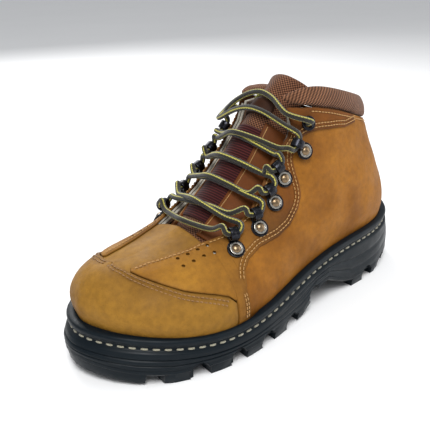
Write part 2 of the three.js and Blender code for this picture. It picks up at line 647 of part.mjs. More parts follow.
/** Padded collar of one side: a swollen band between the leather's top edge and the top line. */
function collarPad(side) {
  const columns = [COLLAR_FRONT, 9.25, 9.6, 10.1, 10.7, 11.3, 11.9, 12.5, HEEL - JOIN / 2].map((s) => {
    const [low, high] = [read(COLLAR_BASE, s), read(COLLAR_TOP[side], s)];
    return steps(0, 1, 4).map((v) => {
      const crown = Math.sin(Math.PI * v) * PAD_CROWN;
      const t = low + (high - low) * v;
      return [skin(side * s, t, -read(PAD_INNER, s) - crown), skin(side * s, t, PAD_OUTER - 0.8 + crown)];
    });
  });
  return sheet(columns);
}
for (const [name, side] of sideNames) add("collar_pad_" + name, collarPad(side), "mesh");

// ---------------------------------------------------------------- tongue
// Middle line of the tongue's face from under the vamp to its top: x, z, half width, how far the edges fall
// back, thickness in the middle.
const TONGUE = [
  [-70, 63.5, 20, 5, 3.5],
  [-58, 69, 22, 7, 4.5],
  [-47, 77, 24, 10.5, 6],
  [-35, 88.5, 26, 16, 7],
  [-21, 102, 26, 20.5, 7],
  [-8, 117, 26, 25.5, 7],
  [3, 131, 25, 27, 8],
  [15, 145, 22, 27.5, 8],
  [28, 157, 18, 19, 8],
  [40, 166, 19, 9, 7],
];
const TONGUE_EDGE = 0.45; // edge thickness as a share of the middle

const tonguePath = new THREE.CatmullRomCurve3(TONGUE.map(([x, z]) => new THREE.Vector3(x, 0, z)));

/** Tongue face at u across (-1 lateral, 1 medial) and v along: point, outward direction and thickness. */
function tongueFace(u, v) {
  const at = v * (TONGUE.length - 1);
  const sizes = [2, 3, 4].map((k) => read(TONGUE.map((row, i) => [i, row[k]]), at));
  const along = tonguePath.getTangent(v);
  const out = new THREE.Vector3(-along.z, 0, along.x);
  const p = tonguePath.getPoint(v).addScaledVector(out, -sizes[1] * u * u);
  p.y = u * sizes[0];
  const lean = new THREE.Vector3(out.x, (1.6 * u * sizes[1]) / sizes[0], out.z).normalize();
  return { p, out: lean, thick: sizes[2] * (1 - (1 - TONGUE_EDGE) * u * u) };
}

/** Sheet laid on the tongue between two offsets from its face; inner null means the tongue's own back. */
function onTongue(u0, u1, rows, v0, v1, count, inner, outer) {
  const columns = steps(v0, v1, count).map((v) =>
    steps(u0, u1, rows).map((u) => {
      const { p, out, thick } = tongueFace(u, v);
      const back = inner === null ? -thick : inner;
      return [p.clone().addScaledVector(out, back), p.clone().addScaledVector(out, outer)];
    }),
  );
  return sheet(columns);
}

add("tongue", onTongue(-1, 1, 8, 0, 1, 14, null, 0), "mesh");
add("tongue_face_panel", onTongue(-0.74, 0.74, 6, 0.25, 0.7, 8, GAP, GAP + 1.1), "tongueFabric");
add("lace_keeper", onTongue(-0.45, 0.45, 4, 0.76, 0.83, 1, GAP, GAP + 1.4), "leatherBrown");

// ---------------------------------------------------------------- lace loops and eyelets
/** Local frame on the side panel: z out of the leather, x towards the rolled end. */
function loopFrame([s0, t0, s1, t1], side) {
  const p = skin(side * s0, t0, TOP[1] + GAP);
  const z = normal(side * s0, t0);
  const x = skin(side * s1, t1, TOP[1] + GAP).sub(p);
  x.addScaledVector(z, -x.dot(z)).normalize();
  return new THREE.Matrix4().makeBasis(x, z.clone().cross(x), z).setPosition(p);
}

const BARREL_REACH = LOOP_LENGTH - LOOP_WIDTH / 2; // from the rivet to the middle of the rolled end

/** Stamped lace loop: a rounded plate with a rivet hole and a rolled end that the lace runs through. */
function laceLoop() {
  const shape = new THREE.Shape();
  const r = LOOP_WIDTH / 2;
  const neck = BARREL_LENGTH / 2;
  const turn = Math.acos(neck / r) - 0.35;
  shape.absarc(0, 0, r, turn, 2 * Math.PI - turn);
  shape.lineTo(BARREL_REACH, -neck);
  shape.lineTo(BARREL_REACH, neck);
  const hole = new THREE.Path();
  hole.absarc(0, 0, RIVET_DIAMETER / 2 + GAP, 0, 2 * Math.PI);
  shape.holes.push(hole);
  const [a, b, l] = [BARREL_BORE / 2, BARREL_OUTER / 2, BARREL_LENGTH / 2];
  const barrel = turned([[a, -l], [b, -l], [b, l], [a, l], [a, -l]], 10);
  barrel.rotateX(Math.PI / 2).translate(BARREL_REACH, 0, b);
  return geometryFrom(solidOf(plate(shape, LOOP_PLATE, 5)).add(solidOf(barrel)));
}

/** Domed tubular rivet with a dimple in its head. */
function rivet() {
  const r = RIVET_DIAMETER / 2;
  const top = LOOP_PLATE + RIVET_RISE;
  return turned([[0, 0], [r, 0], [r, top - 0.8], [r - 0.9, top], [0, top - 0.6]], 10);
}

/** Eyelet ring. */
function eyeletRing() {
  const [a, b] = [EYELET_BORE / 2, EYELET_OUTER / 2];
  return turned([[a, 0], [b, 0], [b, 0.8], [b - 1, 1.6], [a, 1.6], [a, 0]], 12);
}

for (const [name, side] of sideNames) {
  LOOPS.forEach((place, i) => {
    const frame = loopFrame(place, side);
    add(`lace_loop_${name}_${i + 1}`, laceLoop().applyMatrix4(frame), "blackNickel");
    add(`loop_rivet_${name}_${i + 1}`, rivet().applyMatrix4(frame), "rivet");
  });
  const [s, t] = TOP_EYELET;
  const ring = loopFrame([s, t, s, t + 0.02], side);
  add(`top_eyelet_${name}`, eyeletRing().applyMatrix4(ring), "blackNickel");
}

// ---------------------------------------------------------------- lace
// Route of the lace from the tip inside the medial collar to the tip inside the lateral collar: through the
// medial eyelet, down the loops on alternate sides, across the bottom pair, and up again under the first
// strands.
const LACE_ROUTE = [
  [56, 20, 98], [53, 22, 110], [47.5, 23, 121], [39.5, 22.5, 130.5], [34, 22, 135.5], [31.5, 30.5, 137.5],
  [30.5, 34.5, 138], [26, 37.5, 140], [21, 38, 137], [11, 34, 134], [7, 24, 138], [7, 12, 144],
  [8, 0, 147], [10, -11, 145.5], [12.5, -20, 141.5], [14.5, -27.5, 138], [17, -34, 135], [19.5, -35, 132],
  [19, -35.5, 128.5], [16, -35.5, 124.5], [13, -35.5, 123.5], [9, -35, 125.5], [8, -27, 124.5],
  [-0.5, -14.5, 130], [-6.5, 0, 133], [-1.5, 14, 127.5], [5, 27.5, 121.5], [5, 32, 122], [6, 33, 118],
  [4, 33, 115], [-0.5, 32.5, 112.5], [-3.5, 32, 113], [-6, 30.5, 116], [-6, 27.5, 110], [-12, 14, 115.5],
  [-17, 0, 119.5], [-12.5, -14.5, 116], [-5.5, -27.5, 110], [-4, -34, 109], [-3.5, -36, 105],
  [-5.5, -36, 102.5], [-10.5, -35.5, 100.5], [-13.5, -34.5, 101], [-15.5, -33, 104.5],
  [-18.5, -26.5, 99.5], [-23.5, -14, 104], [-27.5, 0, 107.5], [-24, 13.5, 103.5], [-19.5, 27, 99],
  [-16, 35.5, 96], [-17, 36.5, 92], [-19.5, 36.5, 90], [-24.5, 35.5, 89.5], [-27.5, 34.5, 90.5],
  [-28.5, 33, 94.5], [-33.5, 26, 89.5], [-37, 13, 92], [-41, 0, 94.5], [-39, -13, 91], [-37, -25.5, 87.5],
  [-34, -36, 86], [-35.5, -38, 82.5], [-38.5, -38, 81], [-43.5, -36.5, 81.5], [-45.5, -35, 83],
  [-45.5, -32, 86], [-47, -24, 82], [-50, -10, 82], [-52, 0, 83], [-50, 10, 82], [-47, 24, 82],
  [-45.5, 29.5, 87], [-45.5, 32, 83.5], [-43, 33.5, 81.5], [-38.5, 35, 81.5], [-35.5, 35.5, 82.5],
  [-33.5, 34, 86], [-36.5, 25.5, 87.5], [-37, 12, 89.5], [-38, 0, 91.5], [-36, -12.5, 91],
  [-33.5, -25.5, 89.5], [-28.5, -34, 94], [-27.5, -36, 90.5], [-24.5, -37.5, 89.5], [-19.5, -38.5, 90],
  [-17, -38, 92], [-16, -36.5, 96], [-19.5, -26.5, 99], [-23, -13, 102.5], [-24.5, 0, 104.5],
  [-22, 12.5, 102.5], [-18.5, 26.5, 99.5], [-15.5, 32.5, 104.5], [-13.5, 34, 101], [-10.5, 35, 100.5],
  [-5.5, 35.5, 102.5], [-3.5, 35.5, 105], [-4, 34, 109], [-5.5, 27.5, 110], [-10.5, 13, 114.5],
  [-14, 0, 117], [-11, -13.5, 114.5], [-5.5, -27, 110], [-6, -30.5, 115.5], [-3.5, -32, 112.5],
  [-0.5, -33, 112.5], [4, -33.5, 115], [5.5, -33.5, 118], [4.5, -32, 122], [5, -27, 121], [-0.5, -13, 127],
  [-3, 0, 130.5], [1, 13, 128.5], [8, 27, 124.5], [9, 34.5, 125], [13, 35, 123.5], [16, 35, 124.5],
  [19, 34.5, 128.5], [19.5, 34, 131.5], [17, 33.5, 135], [14, 28.5, 140], [13.5, 21, 146.5],
  [16.5, 11, 153], [18.5, 0, 156], [18.5, -11, 153.5], [16.5, -20, 149], [16.5, -26, 145.5],
  [19.5, -32, 143.5], [23.5, -37, 142], [28, -38, 140], [31.5, -31.5, 137.5], [34.5, -23, 135],
  [39.5, -23, 130.5], [47.5, -23, 121], [53, -22, 110], [56, -20, 98],
];

/** Curve with its stations at its points, so that they crowd where the lace turns. */
class LacePath extends THREE.CatmullRomCurve3 {
  getSpacedPoints(count) {
    return this.getPoints(count);
  }

  getTangentAt(u, target) {
    return this.getTangent(u, target);
  }
}

const lacePath = new LacePath(LACE_ROUTE.map((p) => new THREE.Vector3(...p)));
const laceSection = roundSection(LACE_DIAMETER / 2, 8);
const lace = new THREE.ExtrudeGeometry(laceSection, { steps: LACE_ROUTE.length - 1, extrudePath: lacePath });
add("lace", lace, "lace");

/** Plastic tip that carries on from an end of the lace; at is 0 or 1. */
function laceTip(at) {
  const along = lacePath.getTangent(at).multiplyScalar(at === 0 ? -1 : 1);
  const r = AGLET_DIAMETER / 2;
  const tip = turned([[0, GAP], [r, GAP], [r, AGLET_LENGTH - 1], [r - 0.8, AGLET_LENGTH],
    [0, AGLET_LENGTH]], 10);
  const turn = new THREE.Quaternion().setFromUnitVectors(new THREE.Vector3(0, 0, 1), along);
  const end = lacePath.getPoint(at);
  return tip.applyQuaternion(turn).translate(end.x, end.y, end.z);
}
add("lace_tip_medial", laceTip(0), "aglet");
add("lace_tip_lateral", laceTip(1), "aglet");

// The origin is on the ground under the middle of the boot's box.
const box = new THREE.Box3().setFromObject(boot);
boot.position.set(-(box.min.x + box.max.x) / 2, -(box.min.y + box.max.y) / 2, -box.min.z);

export default boot;
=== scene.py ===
"""Left ankle-high work boot.

A leather upper with a hidden toe cap, padded collar and tongue, metal lace loops and a lugged rubber sole.
Sizes are millimetres in the last's own axes, toe towards -X and lateral side towards -Y; meshes are made in
metres in the frame's axes.
"""

from __future__ import annotations

import json
import logging
import math
from dataclasses import dataclass, field
from enum import Enum
from typing import Callable, Sequence

import bmesh
import bpy
import numpy as np
from mathutils import Matrix, Vector

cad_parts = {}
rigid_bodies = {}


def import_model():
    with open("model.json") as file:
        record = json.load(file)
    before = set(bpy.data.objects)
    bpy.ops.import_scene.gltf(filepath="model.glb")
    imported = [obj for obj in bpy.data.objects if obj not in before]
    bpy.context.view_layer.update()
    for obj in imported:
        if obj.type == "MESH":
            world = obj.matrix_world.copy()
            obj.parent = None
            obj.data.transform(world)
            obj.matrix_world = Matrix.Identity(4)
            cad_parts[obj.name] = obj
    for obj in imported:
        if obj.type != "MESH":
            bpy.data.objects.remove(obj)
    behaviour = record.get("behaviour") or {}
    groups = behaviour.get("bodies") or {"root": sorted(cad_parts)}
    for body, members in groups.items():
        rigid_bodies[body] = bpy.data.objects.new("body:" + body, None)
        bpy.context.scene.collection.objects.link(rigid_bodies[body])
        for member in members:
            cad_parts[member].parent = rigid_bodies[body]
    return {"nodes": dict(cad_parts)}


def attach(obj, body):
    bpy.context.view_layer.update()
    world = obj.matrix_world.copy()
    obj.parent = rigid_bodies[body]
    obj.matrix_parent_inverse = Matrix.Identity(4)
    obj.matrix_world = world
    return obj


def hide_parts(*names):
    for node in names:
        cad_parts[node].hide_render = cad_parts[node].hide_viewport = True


logging.basicConfig(level=logging.INFO, format="%(message)s")
log = logging.getLogger("boot")

MM = 0.001
MERGE = 2e-6  # vertices nearer than this, in metres, are one
FAR = 50.0  # distance that counts as away from every edge and seam, in millimetres
ORIGIN = np.array([-8.5625, 5.3457, -6.0])  # where the last's own origin stands in the frame's axes
BODY = "boot"

Line = Sequence[Sequence[float]]
Reading = Callable[[np.ndarray], np.ndarray]


class Side(Enum):
    """Side of the foot; its value is the sign of s on the last."""

    LATERAL = 1
    MEDIAL = -1

    @property
    def label(self) -> str:
        """The side's name, as it stands in the names of pieces."""
        return self.name.lower()


class Slot(Enum):
    """Material slots of the record."""

    RUBBER = "rubber_sole"
    TAN = "leather_tan"
    BROWN = "leather_brown"
    MESH = "mesh_fabric"
    TONGUE = "tongue_fabric"
    LINING = "lining_fabric"
    THREAD = "thread"
    STEEL = "steel"
    NICKEL = "black_nickel"
    RIVET = "rivet_metal"
    BOARD = "board"
    FOAM = "foam"
    LACE = "lace_braid"
    TIP = "lace_tip"


def reading(line: Line) -> Reading:
    """Straight-line reading of [at, value] pairs, held flat past their ends.

    Args:
        line: the pairs, in rising order.

    Returns:
        A function from places to values.
    """
    at, value = np.array(line, float).T
    return lambda x: np.interp(np.asarray(x, float), at, value)


def smooth_reading(line: Line, blur: float = 0.12) -> Reading:
    """Reading of a line with its corners rounded.

    Args:
        line: the [at, value] pairs.
        blur: half width of the rounding, in the line's own units.

    Returns:
        A function from places to values.
    """
    straight = reading(line)
    shifts = np.linspace(-1, 1, 9)
    weights = 1 - shifts**2 + 0.05
    weights /= weights.sum()
    return lambda x: sum(w * straight(np.asarray(x, float) + blur * d) for w, d in zip(weights, shifts))


def unit(vectors: np.ndarray) -> np.ndarray:
    """Vectors brought to a length of one."""
    return vectors / np.linalg.norm(vectors, axis=-1, keepdims=True)


def run_along(points: np.ndarray, axis: int = 0) -> np.ndarray:
    """Distance run along lines of points from their first."""
    steps = np.linalg.norm(np.diff(points, axis=axis), axis=-1)
    return np.concatenate([np.zeros_like(steps.take([0], axis)), np.cumsum(steps, axis)], axis)


def spline(points: Sequence[np.ndarray], u: np.ndarray) -> np.ndarray:
    """Curve through the second and third of four points, at shares u of the way between them."""
    a, b, c, d = points
    return 0.5 * (
        2 * b + (c - a) * u + (2 * a - 5 * b + 4 * c - d) * u**2 + (3 * b - a - 3 * c + d) * u**3
    )


def places_on(line: np.ndarray, at: np.ndarray, run: np.ndarray) -> np.ndarray:
    """Points of a line at places along its run."""
    return np.stack([np.interp(at, run, line[:, k]) for k in range(line.shape[1])], -1)


# ---------------------------------------------------------------- the last
class Last:
    """Form that the upper is pulled over.

    s runs round the boot, 0 at the toe and HEEL at the heel, positive on the lateral side; t is -1 on the
    feather line, 0 on the sole line and 1 on the centre line or the top line.
    """

    HEEL = 13
    AROUND = 26
    KNOTS = (0, 0, 0, 0, 1 / 3, 2 / 3, 1, 1, 1, 1)
    SKIRT_TUCK = 2.5
    STEP = 0.02
    FEATHER = staticmethod(
        reading([[-130, 27], [-95, 21.5], [-65, 20], [-25, 22], [15, 28], [50, 33], [75, 35], [150, 36]])
    )
    # Each rib: six x, six z, six distances out to the lateral side and six to the medial side.
    RIBS = (
        (
            (-128, -131, -130, -122, -112, -104), (39, 46, 55, 66, 69, 70),
            (6, 6, 5, 4, 2, 0), (6, 6, 5, 4, 2, 0),
        ),
        (
            (-122, -125, -124, -116, -107, -98), (39, 46, 55, 66, 70, 70),
            (24, 26, 23, 16, 9, 0), (22, 24, 21, 14, 8, 0),
        ),
        (
            (-107, -111, -110, -103, -95, -87), (37, 44, 54, 67, 71, 71),
            (42, 45, 41, 29, 13, 0), (37, 40, 36, 25, 12, 0),
        ),
        (
            (-84, -86, -85, -81, -77, -72), (33, 40, 53, 67, 73, 74),
            (53, 56, 51, 36, 16, 0), (46, 49, 44, 31, 14, 0),
        ),
        (
            (-58, -59, -58, -57, -56, -56), (31, 41, 54, 70, 77, 79),
            (57, 60, 54, 38, 18, 0), (45, 48, 45, 34, 16, 0),
        ),
        (
            (-28, -29, -31, -34, -38, -41), (33, 44, 58, 77, 87, 89),
            (54, 57, 52, 38, 18, 0), (39, 43, 44, 35, 17, 0),
        ),
        (
            (2, -1, -6, -13, -20, -24), (38, 49, 67, 89, 101, 103),
            (47, 51, 48, 36, 18, 0), (33, 38, 42, 35, 18, 0),
        ),
        (
            (30, 27, 20, 9, -2, -8), (43, 55, 78, 106, 120, 122),
            (42, 46, 46, 35, 18, 0), (30, 36, 41, 35, 18, 0),
        ),
        (
            (56, 54, 45, 31, 15, 8), (46, 58, 87, 123, 143, 147),
            (39, 44, 45, 37, 23, 9), (30, 36, 40, 35, 23, 9),
        ),
        (
            (80, 79, 72, 59, 41, 30), (48, 60, 87, 122, 151, 164),
            (38, 43, 43, 37, 33, 29), (32, 38, 39, 35, 32, 28),
        ),
        (
            (104, 104, 99, 88, 73, 62), (49, 60, 84, 114, 140, 156),
            (36, 41, 38, 34, 34, 35), (33, 38, 36, 33, 32, 32),
        ),
        (
            (130, 130, 125, 114, 102, 93), (51, 62, 82, 107, 130, 147),
            (27, 31, 28, 25, 26, 28), (27, 31, 28, 25, 26, 28),
        ),
        (
            (145, 146, 140, 128, 118, 112), (54, 66, 85, 106, 126, 142),
            (9, 10, 9, 8, 9, 10), (9, 10, 9, 8, 9, 10),
        ),
    )

    def __init__(self) -> None:
        """Lay the ribs round the boot, lateral side first."""
        lateral = [[(x, -a, z) for x, z, a in zip(xs, zs, lat)] for xs, zs, lat, _ in self.RIBS]
        medial = [[(x, a, z) for x, z, a in zip(xs, zs, med)] for xs, zs, _, med in reversed(self.RIBS)]
        self.net = np.array(lateral + medial, float)

    @classmethod
    def _rib_weights(cls, t: np.ndarray) -> np.ndarray:
        """Cubic B-spline weights of a rib's six control points at t."""
        at = np.clip(t, 0, 1 - 1e-9)
        k = cls.KNOTS
        w = [((at >= k[i]) & (at < k[i + 1])).astype(float) for i in range(9)]
        for degree in range(1, 4):
            rising = []
            for i in range(9 - degree):
                a, b = k[i + degree] - k[i], k[i + degree + 1] - k[i + 1]
                value = (at - k[i]) / a * w[i] if a > 0 else 0 * at
                if b > 0:
                    value = value + (k[i + degree + 1] - at) / b * w[i + 1]
                rising.append(value)
            w = rising
        return np.stack(w, -1)

    def body(self, s: np.ndarray, t: np.ndarray) -> np.ndarray:
        """Points of the form above the sole line, in millimetres."""
        s, t = np.broadcast_arrays(np.asarray(s, float), np.asarray(t, float))
        at = s - 0.5
        i = np.floor(at).astype(int)
        u = at - i
        second, third = (3 * u**3 - 6 * u**2 + 4) / 6, (-3 * u**3 + 3 * u**2 + 3 * u + 1) / 6
        loop = ((1 - u) ** 3 / 6, second, third, u**3 / 6)
        rib = self._rib_weights(t)
        point = np.zeros(s.shape + (3,))
        for k, weight in enumerate(loop):
            controls = self.net[(i - 1 + k) % self.AROUND]
            point += weight[..., None] * np.einsum("...jc,...j->...c", controls, rib)
        return point

    def outward(self, s: np.ndarray) -> np.ndarray:
        """Level unit direction straight out from the boot, taken along the sole line."""
        along = self.body(np.asarray(s, float) + 0.05, 0) - self.body(np.asarray(s, float) - 0.05, 0)
        return unit(np.stack([along[..., 1], -along[..., 0], 0 * along[..., 0]], -1))

    def surface(self, s: np.ndarray, t: np.ndarray) -> np.ndarray:
        """Points of the form, with the skirt that tucks in below the sole line."""
        s, t = np.broadcast_arrays(np.asarray(s, float), np.asarray(t, float))
        point = self.body(s, np.maximum(t, 0))
        drop = np.clip(-t, 0, 1)[..., None]
        tucked = point - self.SKIRT_TUCK * drop * self.outward(s)
        tucked[..., 2] += (self.FEATHER(tucked[..., 0]) - tucked[..., 2]) * drop[..., 0]
        return np.where(drop > 0, tucked, point)

    def normal(self, s: np.ndarray, t: np.ndarray) -> np.ndarray:
        """Unit normals of the form, facing out."""
        e = self.STEP
        s, t = np.broadcast_arrays(np.asarray(s, float), np.asarray(t, float))
        ds = self.surface(s + e, t) - self.surface(s - e, t)
        dt = self.surface(s, np.minimum(t + e, 1)) - self.surface(s, np.maximum(t - e, -1))
        n = np.cross(ds, dt)
        return n / np.maximum(np.linalg.norm(n, axis=-1, keepdims=True), 1e-9)

    def at(self, side: Side, s: np.ndarray, t: np.ndarray) -> tuple[np.ndarray, np.ndarray]:
        """Points of one side of the form and its normals there."""
        signed, t = side.value * np.asarray(s, float), np.asarray(t, float)
        return self.surface(signed, t), self.normal(signed, t)

    def skin(self, s: np.ndarray, t: np.ndarray, d: float) -> np.ndarray:
        """Points at the distance d outside the form."""
        return self.surface(s, t) + self.normal(s, t) * d


LAST = Last()


# ---------------------------------------------------------------- mesh making
def metres(points: np.ndarray) -> np.ndarray:
    """Points of the last's axes, in the frame's axes and in metres."""
    return (np.asarray(points, float) + ORIGIN) * MM


def link(name: str, data: bpy.types.ID) -> bpy.types.Object:
    """Object of some data, put in the scene."""
    obj = bpy.data.objects.new(name, data)
    bpy.context.scene.collection.objects.link(obj)
    return obj


def raw_object(name: str, points: np.ndarray, faces: Sequence[Sequence[int]]) -> bpy.types.Object:
    """Smooth shaded object of points, in metres in the frame's axes, and faces as they are given."""
    mesh = bpy.data.meshes.new(name)
    mesh.from_pydata(np.asarray(points).tolist(), [], [list(map(int, f)) for f in faces])
    mesh.polygons.foreach_set("use_smooth", np.ones(len(mesh.polygons), bool))
    return link(name, mesh)


def weld(obj: bpy.types.Object, distance: float = MERGE) -> None:
    """Merge an object's doubled vertices and turn its faces outwards."""
    bm = bmesh.new()
    bm.from_mesh(obj.data)
    if distance:
        bmesh.ops.remove_doubles(bm, verts=bm.verts, dist=distance)
    bmesh.ops.recalc_face_normals(bm, faces=bm.faces)
    bm.to_mesh(obj.data)
    bm.free()


def new_object(
    name: str,
    points: np.ndarray,
    faces: Sequence[Sequence[int]],
    values: dict[str, np.ndarray] | None = None,
) -> bpy.types.Object:
    """Make a mesh object with no doubled vertices, whose faces point outwards.

    Args:
        name: name of the object and its mesh.
        points: vertices, in metres in the frame's axes.
        faces: vertex numbers of each face.
        values: numbers stored on the vertices, by the attribute's name.

    Returns:
        The new object, smooth shaded.
    """
    obj = raw_object(name, points, faces)
    for key, value in (values or {}).items():
        stored = obj.data.attributes.new(key, "FLOAT", "POINT")
        stored.data.foreach_set("value", np.asarray(value, np.float32))
    weld(obj)
    return obj


def grid_faces(columns: int, rows: int, start: int = 0, closed: bool = False) -> list[tuple[int, ...]]:
    """Quads of a grid of vertices stored column by column.

    Args:
        columns: number of columns.
        rows: number of vertices in each column.
        start: number of the first vertex.
        closed: whether the last column joins the first.

    Returns:
        The quads.
    """
    faces = []
    for i in range(columns if closed else columns - 1):
        a, b = start + i * rows, start + ((i + 1) % columns) * rows
        faces += [(a + j, b + j, b + j + 1, a + j + 1) for j in range(rows - 1)]
    return faces


def slab_faces(columns: int, rows: int, ridge: bool = False) -> list[tuple[int, ...]]:
    """Faces of a closed slab: an outer grid, an inner grid after it, and the walls between their borders.

    Args:
        columns, rows: size of each grid.
        ridge: whether the last row folds onto itself and so has no wall.

    Returns:
        The faces.
    """
    n = columns * rows
    faces = grid_faces(columns, rows) + grid_faces(columns, rows, n)
    border = [i * rows for i in range(columns)]
    border += [(columns - 1) * rows + j for j in range(1, rows)]
    border += [i * rows + rows - 1 for i in range(columns - 2, -1, -1)]
    border += [j for j in range(rows - 2, 0, -1)]
    for a, b in zip(border, border[1:] + border[:1]):
        if not (ridge and a % rows == rows - 1 and b % rows == rows - 1):
            faces.append((a, b, b + n, a + n))
    return faces


def strand_faces(rings: int, sides: int, start: int = 0) -> list[tuple[int, ...]]:
    """Faces of a closed strand.

    Args:
        rings: number of rings of vertices along it.
        sides: number of vertices in each ring.
        start: number of the first vertex.

    Returns:
        The quads between the rings and the two end caps.
    """
    faces = []
    for i in range(start, start + (rings - 1) * sides, sides):
        for k in range(sides):
            a, b = i + k, i + (k + 1) % sides
            faces.append((a, b, b + sides, a + sides))
    last = start + (rings - 1) * sides
    return faces + [tuple(range(start + sides - 1, start - 1, -1)), tuple(range(last, last + sides))]


def edge_round(distance: np.ndarray, radius: float) -> np.ndarray:
    """How far a rounded edge falls back, at a distance in from it."""
    x = np.clip(distance / radius, 0, 1)
    return radius * (1 - np.sqrt(np.maximum(0, 1 - (1 - x) ** 2)))


def even_and_close(count: int) -> np.ndarray:
    """Places from 0 to 1 that crowd a little at both ends."""
    x = np.linspace(0, 1, count)
    return 0.5 * x + 0.25 * (1 - np.cos(math.pi * x))


def select_only(obj: bpy.types.Object) -> None:
    """Select one object and make it the active one."""
    bpy.ops.object.select_all(action="DESELECT")
    obj.select_set(True)
    bpy.context.view_layer.objects.active = obj


def apply_modifiers(obj: bpy.types.Object) -> None:
    """Apply every modifier of an object in order."""
    select_only(obj)
    for modifier in list(obj.modifiers):
        bpy.ops.object.modifier_apply(modifier=modifier.name)


def join(bits: Sequence[bpy.types.Object]) -> bpy.types.Object:
    """Join objects into the first of them."""
    select_only(bits[0])
    for bit in bits:
        bit.select_set(True)
    bpy.ops.object.join()
    return bits[0]


def combine(obj: bpy.types.Object, tool: bpy.types.Object, operation: str) -> None:
    """Apply a boolean with a tool, which is then removed."""
    modifier = obj.modifiers.new("boolean", "BOOLEAN")
    modifier.operation, modifier.solver, modifier.object = operation, "EXACT", tool
    apply_modifiers(obj)
    bpy.data.objects.remove(tool)


def add_bevel(obj: bpy.types.Object, width: float, angle: float, segments: int = 2) -> None:
    """Add a bevel, its width in millimetres, to the edges sharper than an angle in degrees."""
    modifier = obj.modifiers.new("bevel", "BEVEL")
    modifier.width, modifier.segments = width * MM, segments
    modifier.limit_method, modifier.angle_limit = "ANGLE", math.radians(angle)


def cylinder(
    radius: float,
    depth: float,
    place: Sequence[float],
    vertices: int = 40,
    turn: Sequence[float] = (0, 0, 0),
    ends: str = "NGON",
) -> bpy.types.Object:
    """Add a cylinder.

    Args:
        radius, depth: its sizes in millimetres.
        place: its middle, in metres.
        vertices: number of vertices round it.
        turn: its rotation.
        ends: how its ends are filled.

    Returns:
        The cylinder, selected alone.
    """
    bpy.ops.object.select_all(action="DESELECT")
    bpy.ops.mesh.primitive_cylinder_add(
        vertices=vertices, radius=radius * MM, depth=depth * MM, location=place, rotation=turn,
        end_fill_type=ends,
    )
    return bpy.context.object


def matrix_of(axes: Sequence[Sequence[float]], place: np.ndarray) -> Matrix:
    """Matrix of three axes and a place in millimetres on the last's axes."""
    columns = [*axes, metres(place)]
    return Matrix([[float(column[row]) for column in columns] for row in range(3)] + [[0, 0, 0, 1]])


def finish_piece(
    obj: bpy.types.Object,
    finish: "Finish",
    replaces: Sequence[str] = (),
    body: str = BODY,
) -> bpy.types.Object:
    """Dress a piece and tie it to the frame.

    Args:
        obj: the piece.
        finish: its finish.
        replaces: CAD nodes that it stands for.
        body: the CAD body that it rides on.

    Returns:
        The same piece.
    """
    obj.data.materials.clear()
    obj.data.materials.append(finish.material())
    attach(obj, body)
    if replaces:
        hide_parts(*replaces)
    log.info("%s: %d faces", obj.name, len(obj.data.polygons))
    return obj


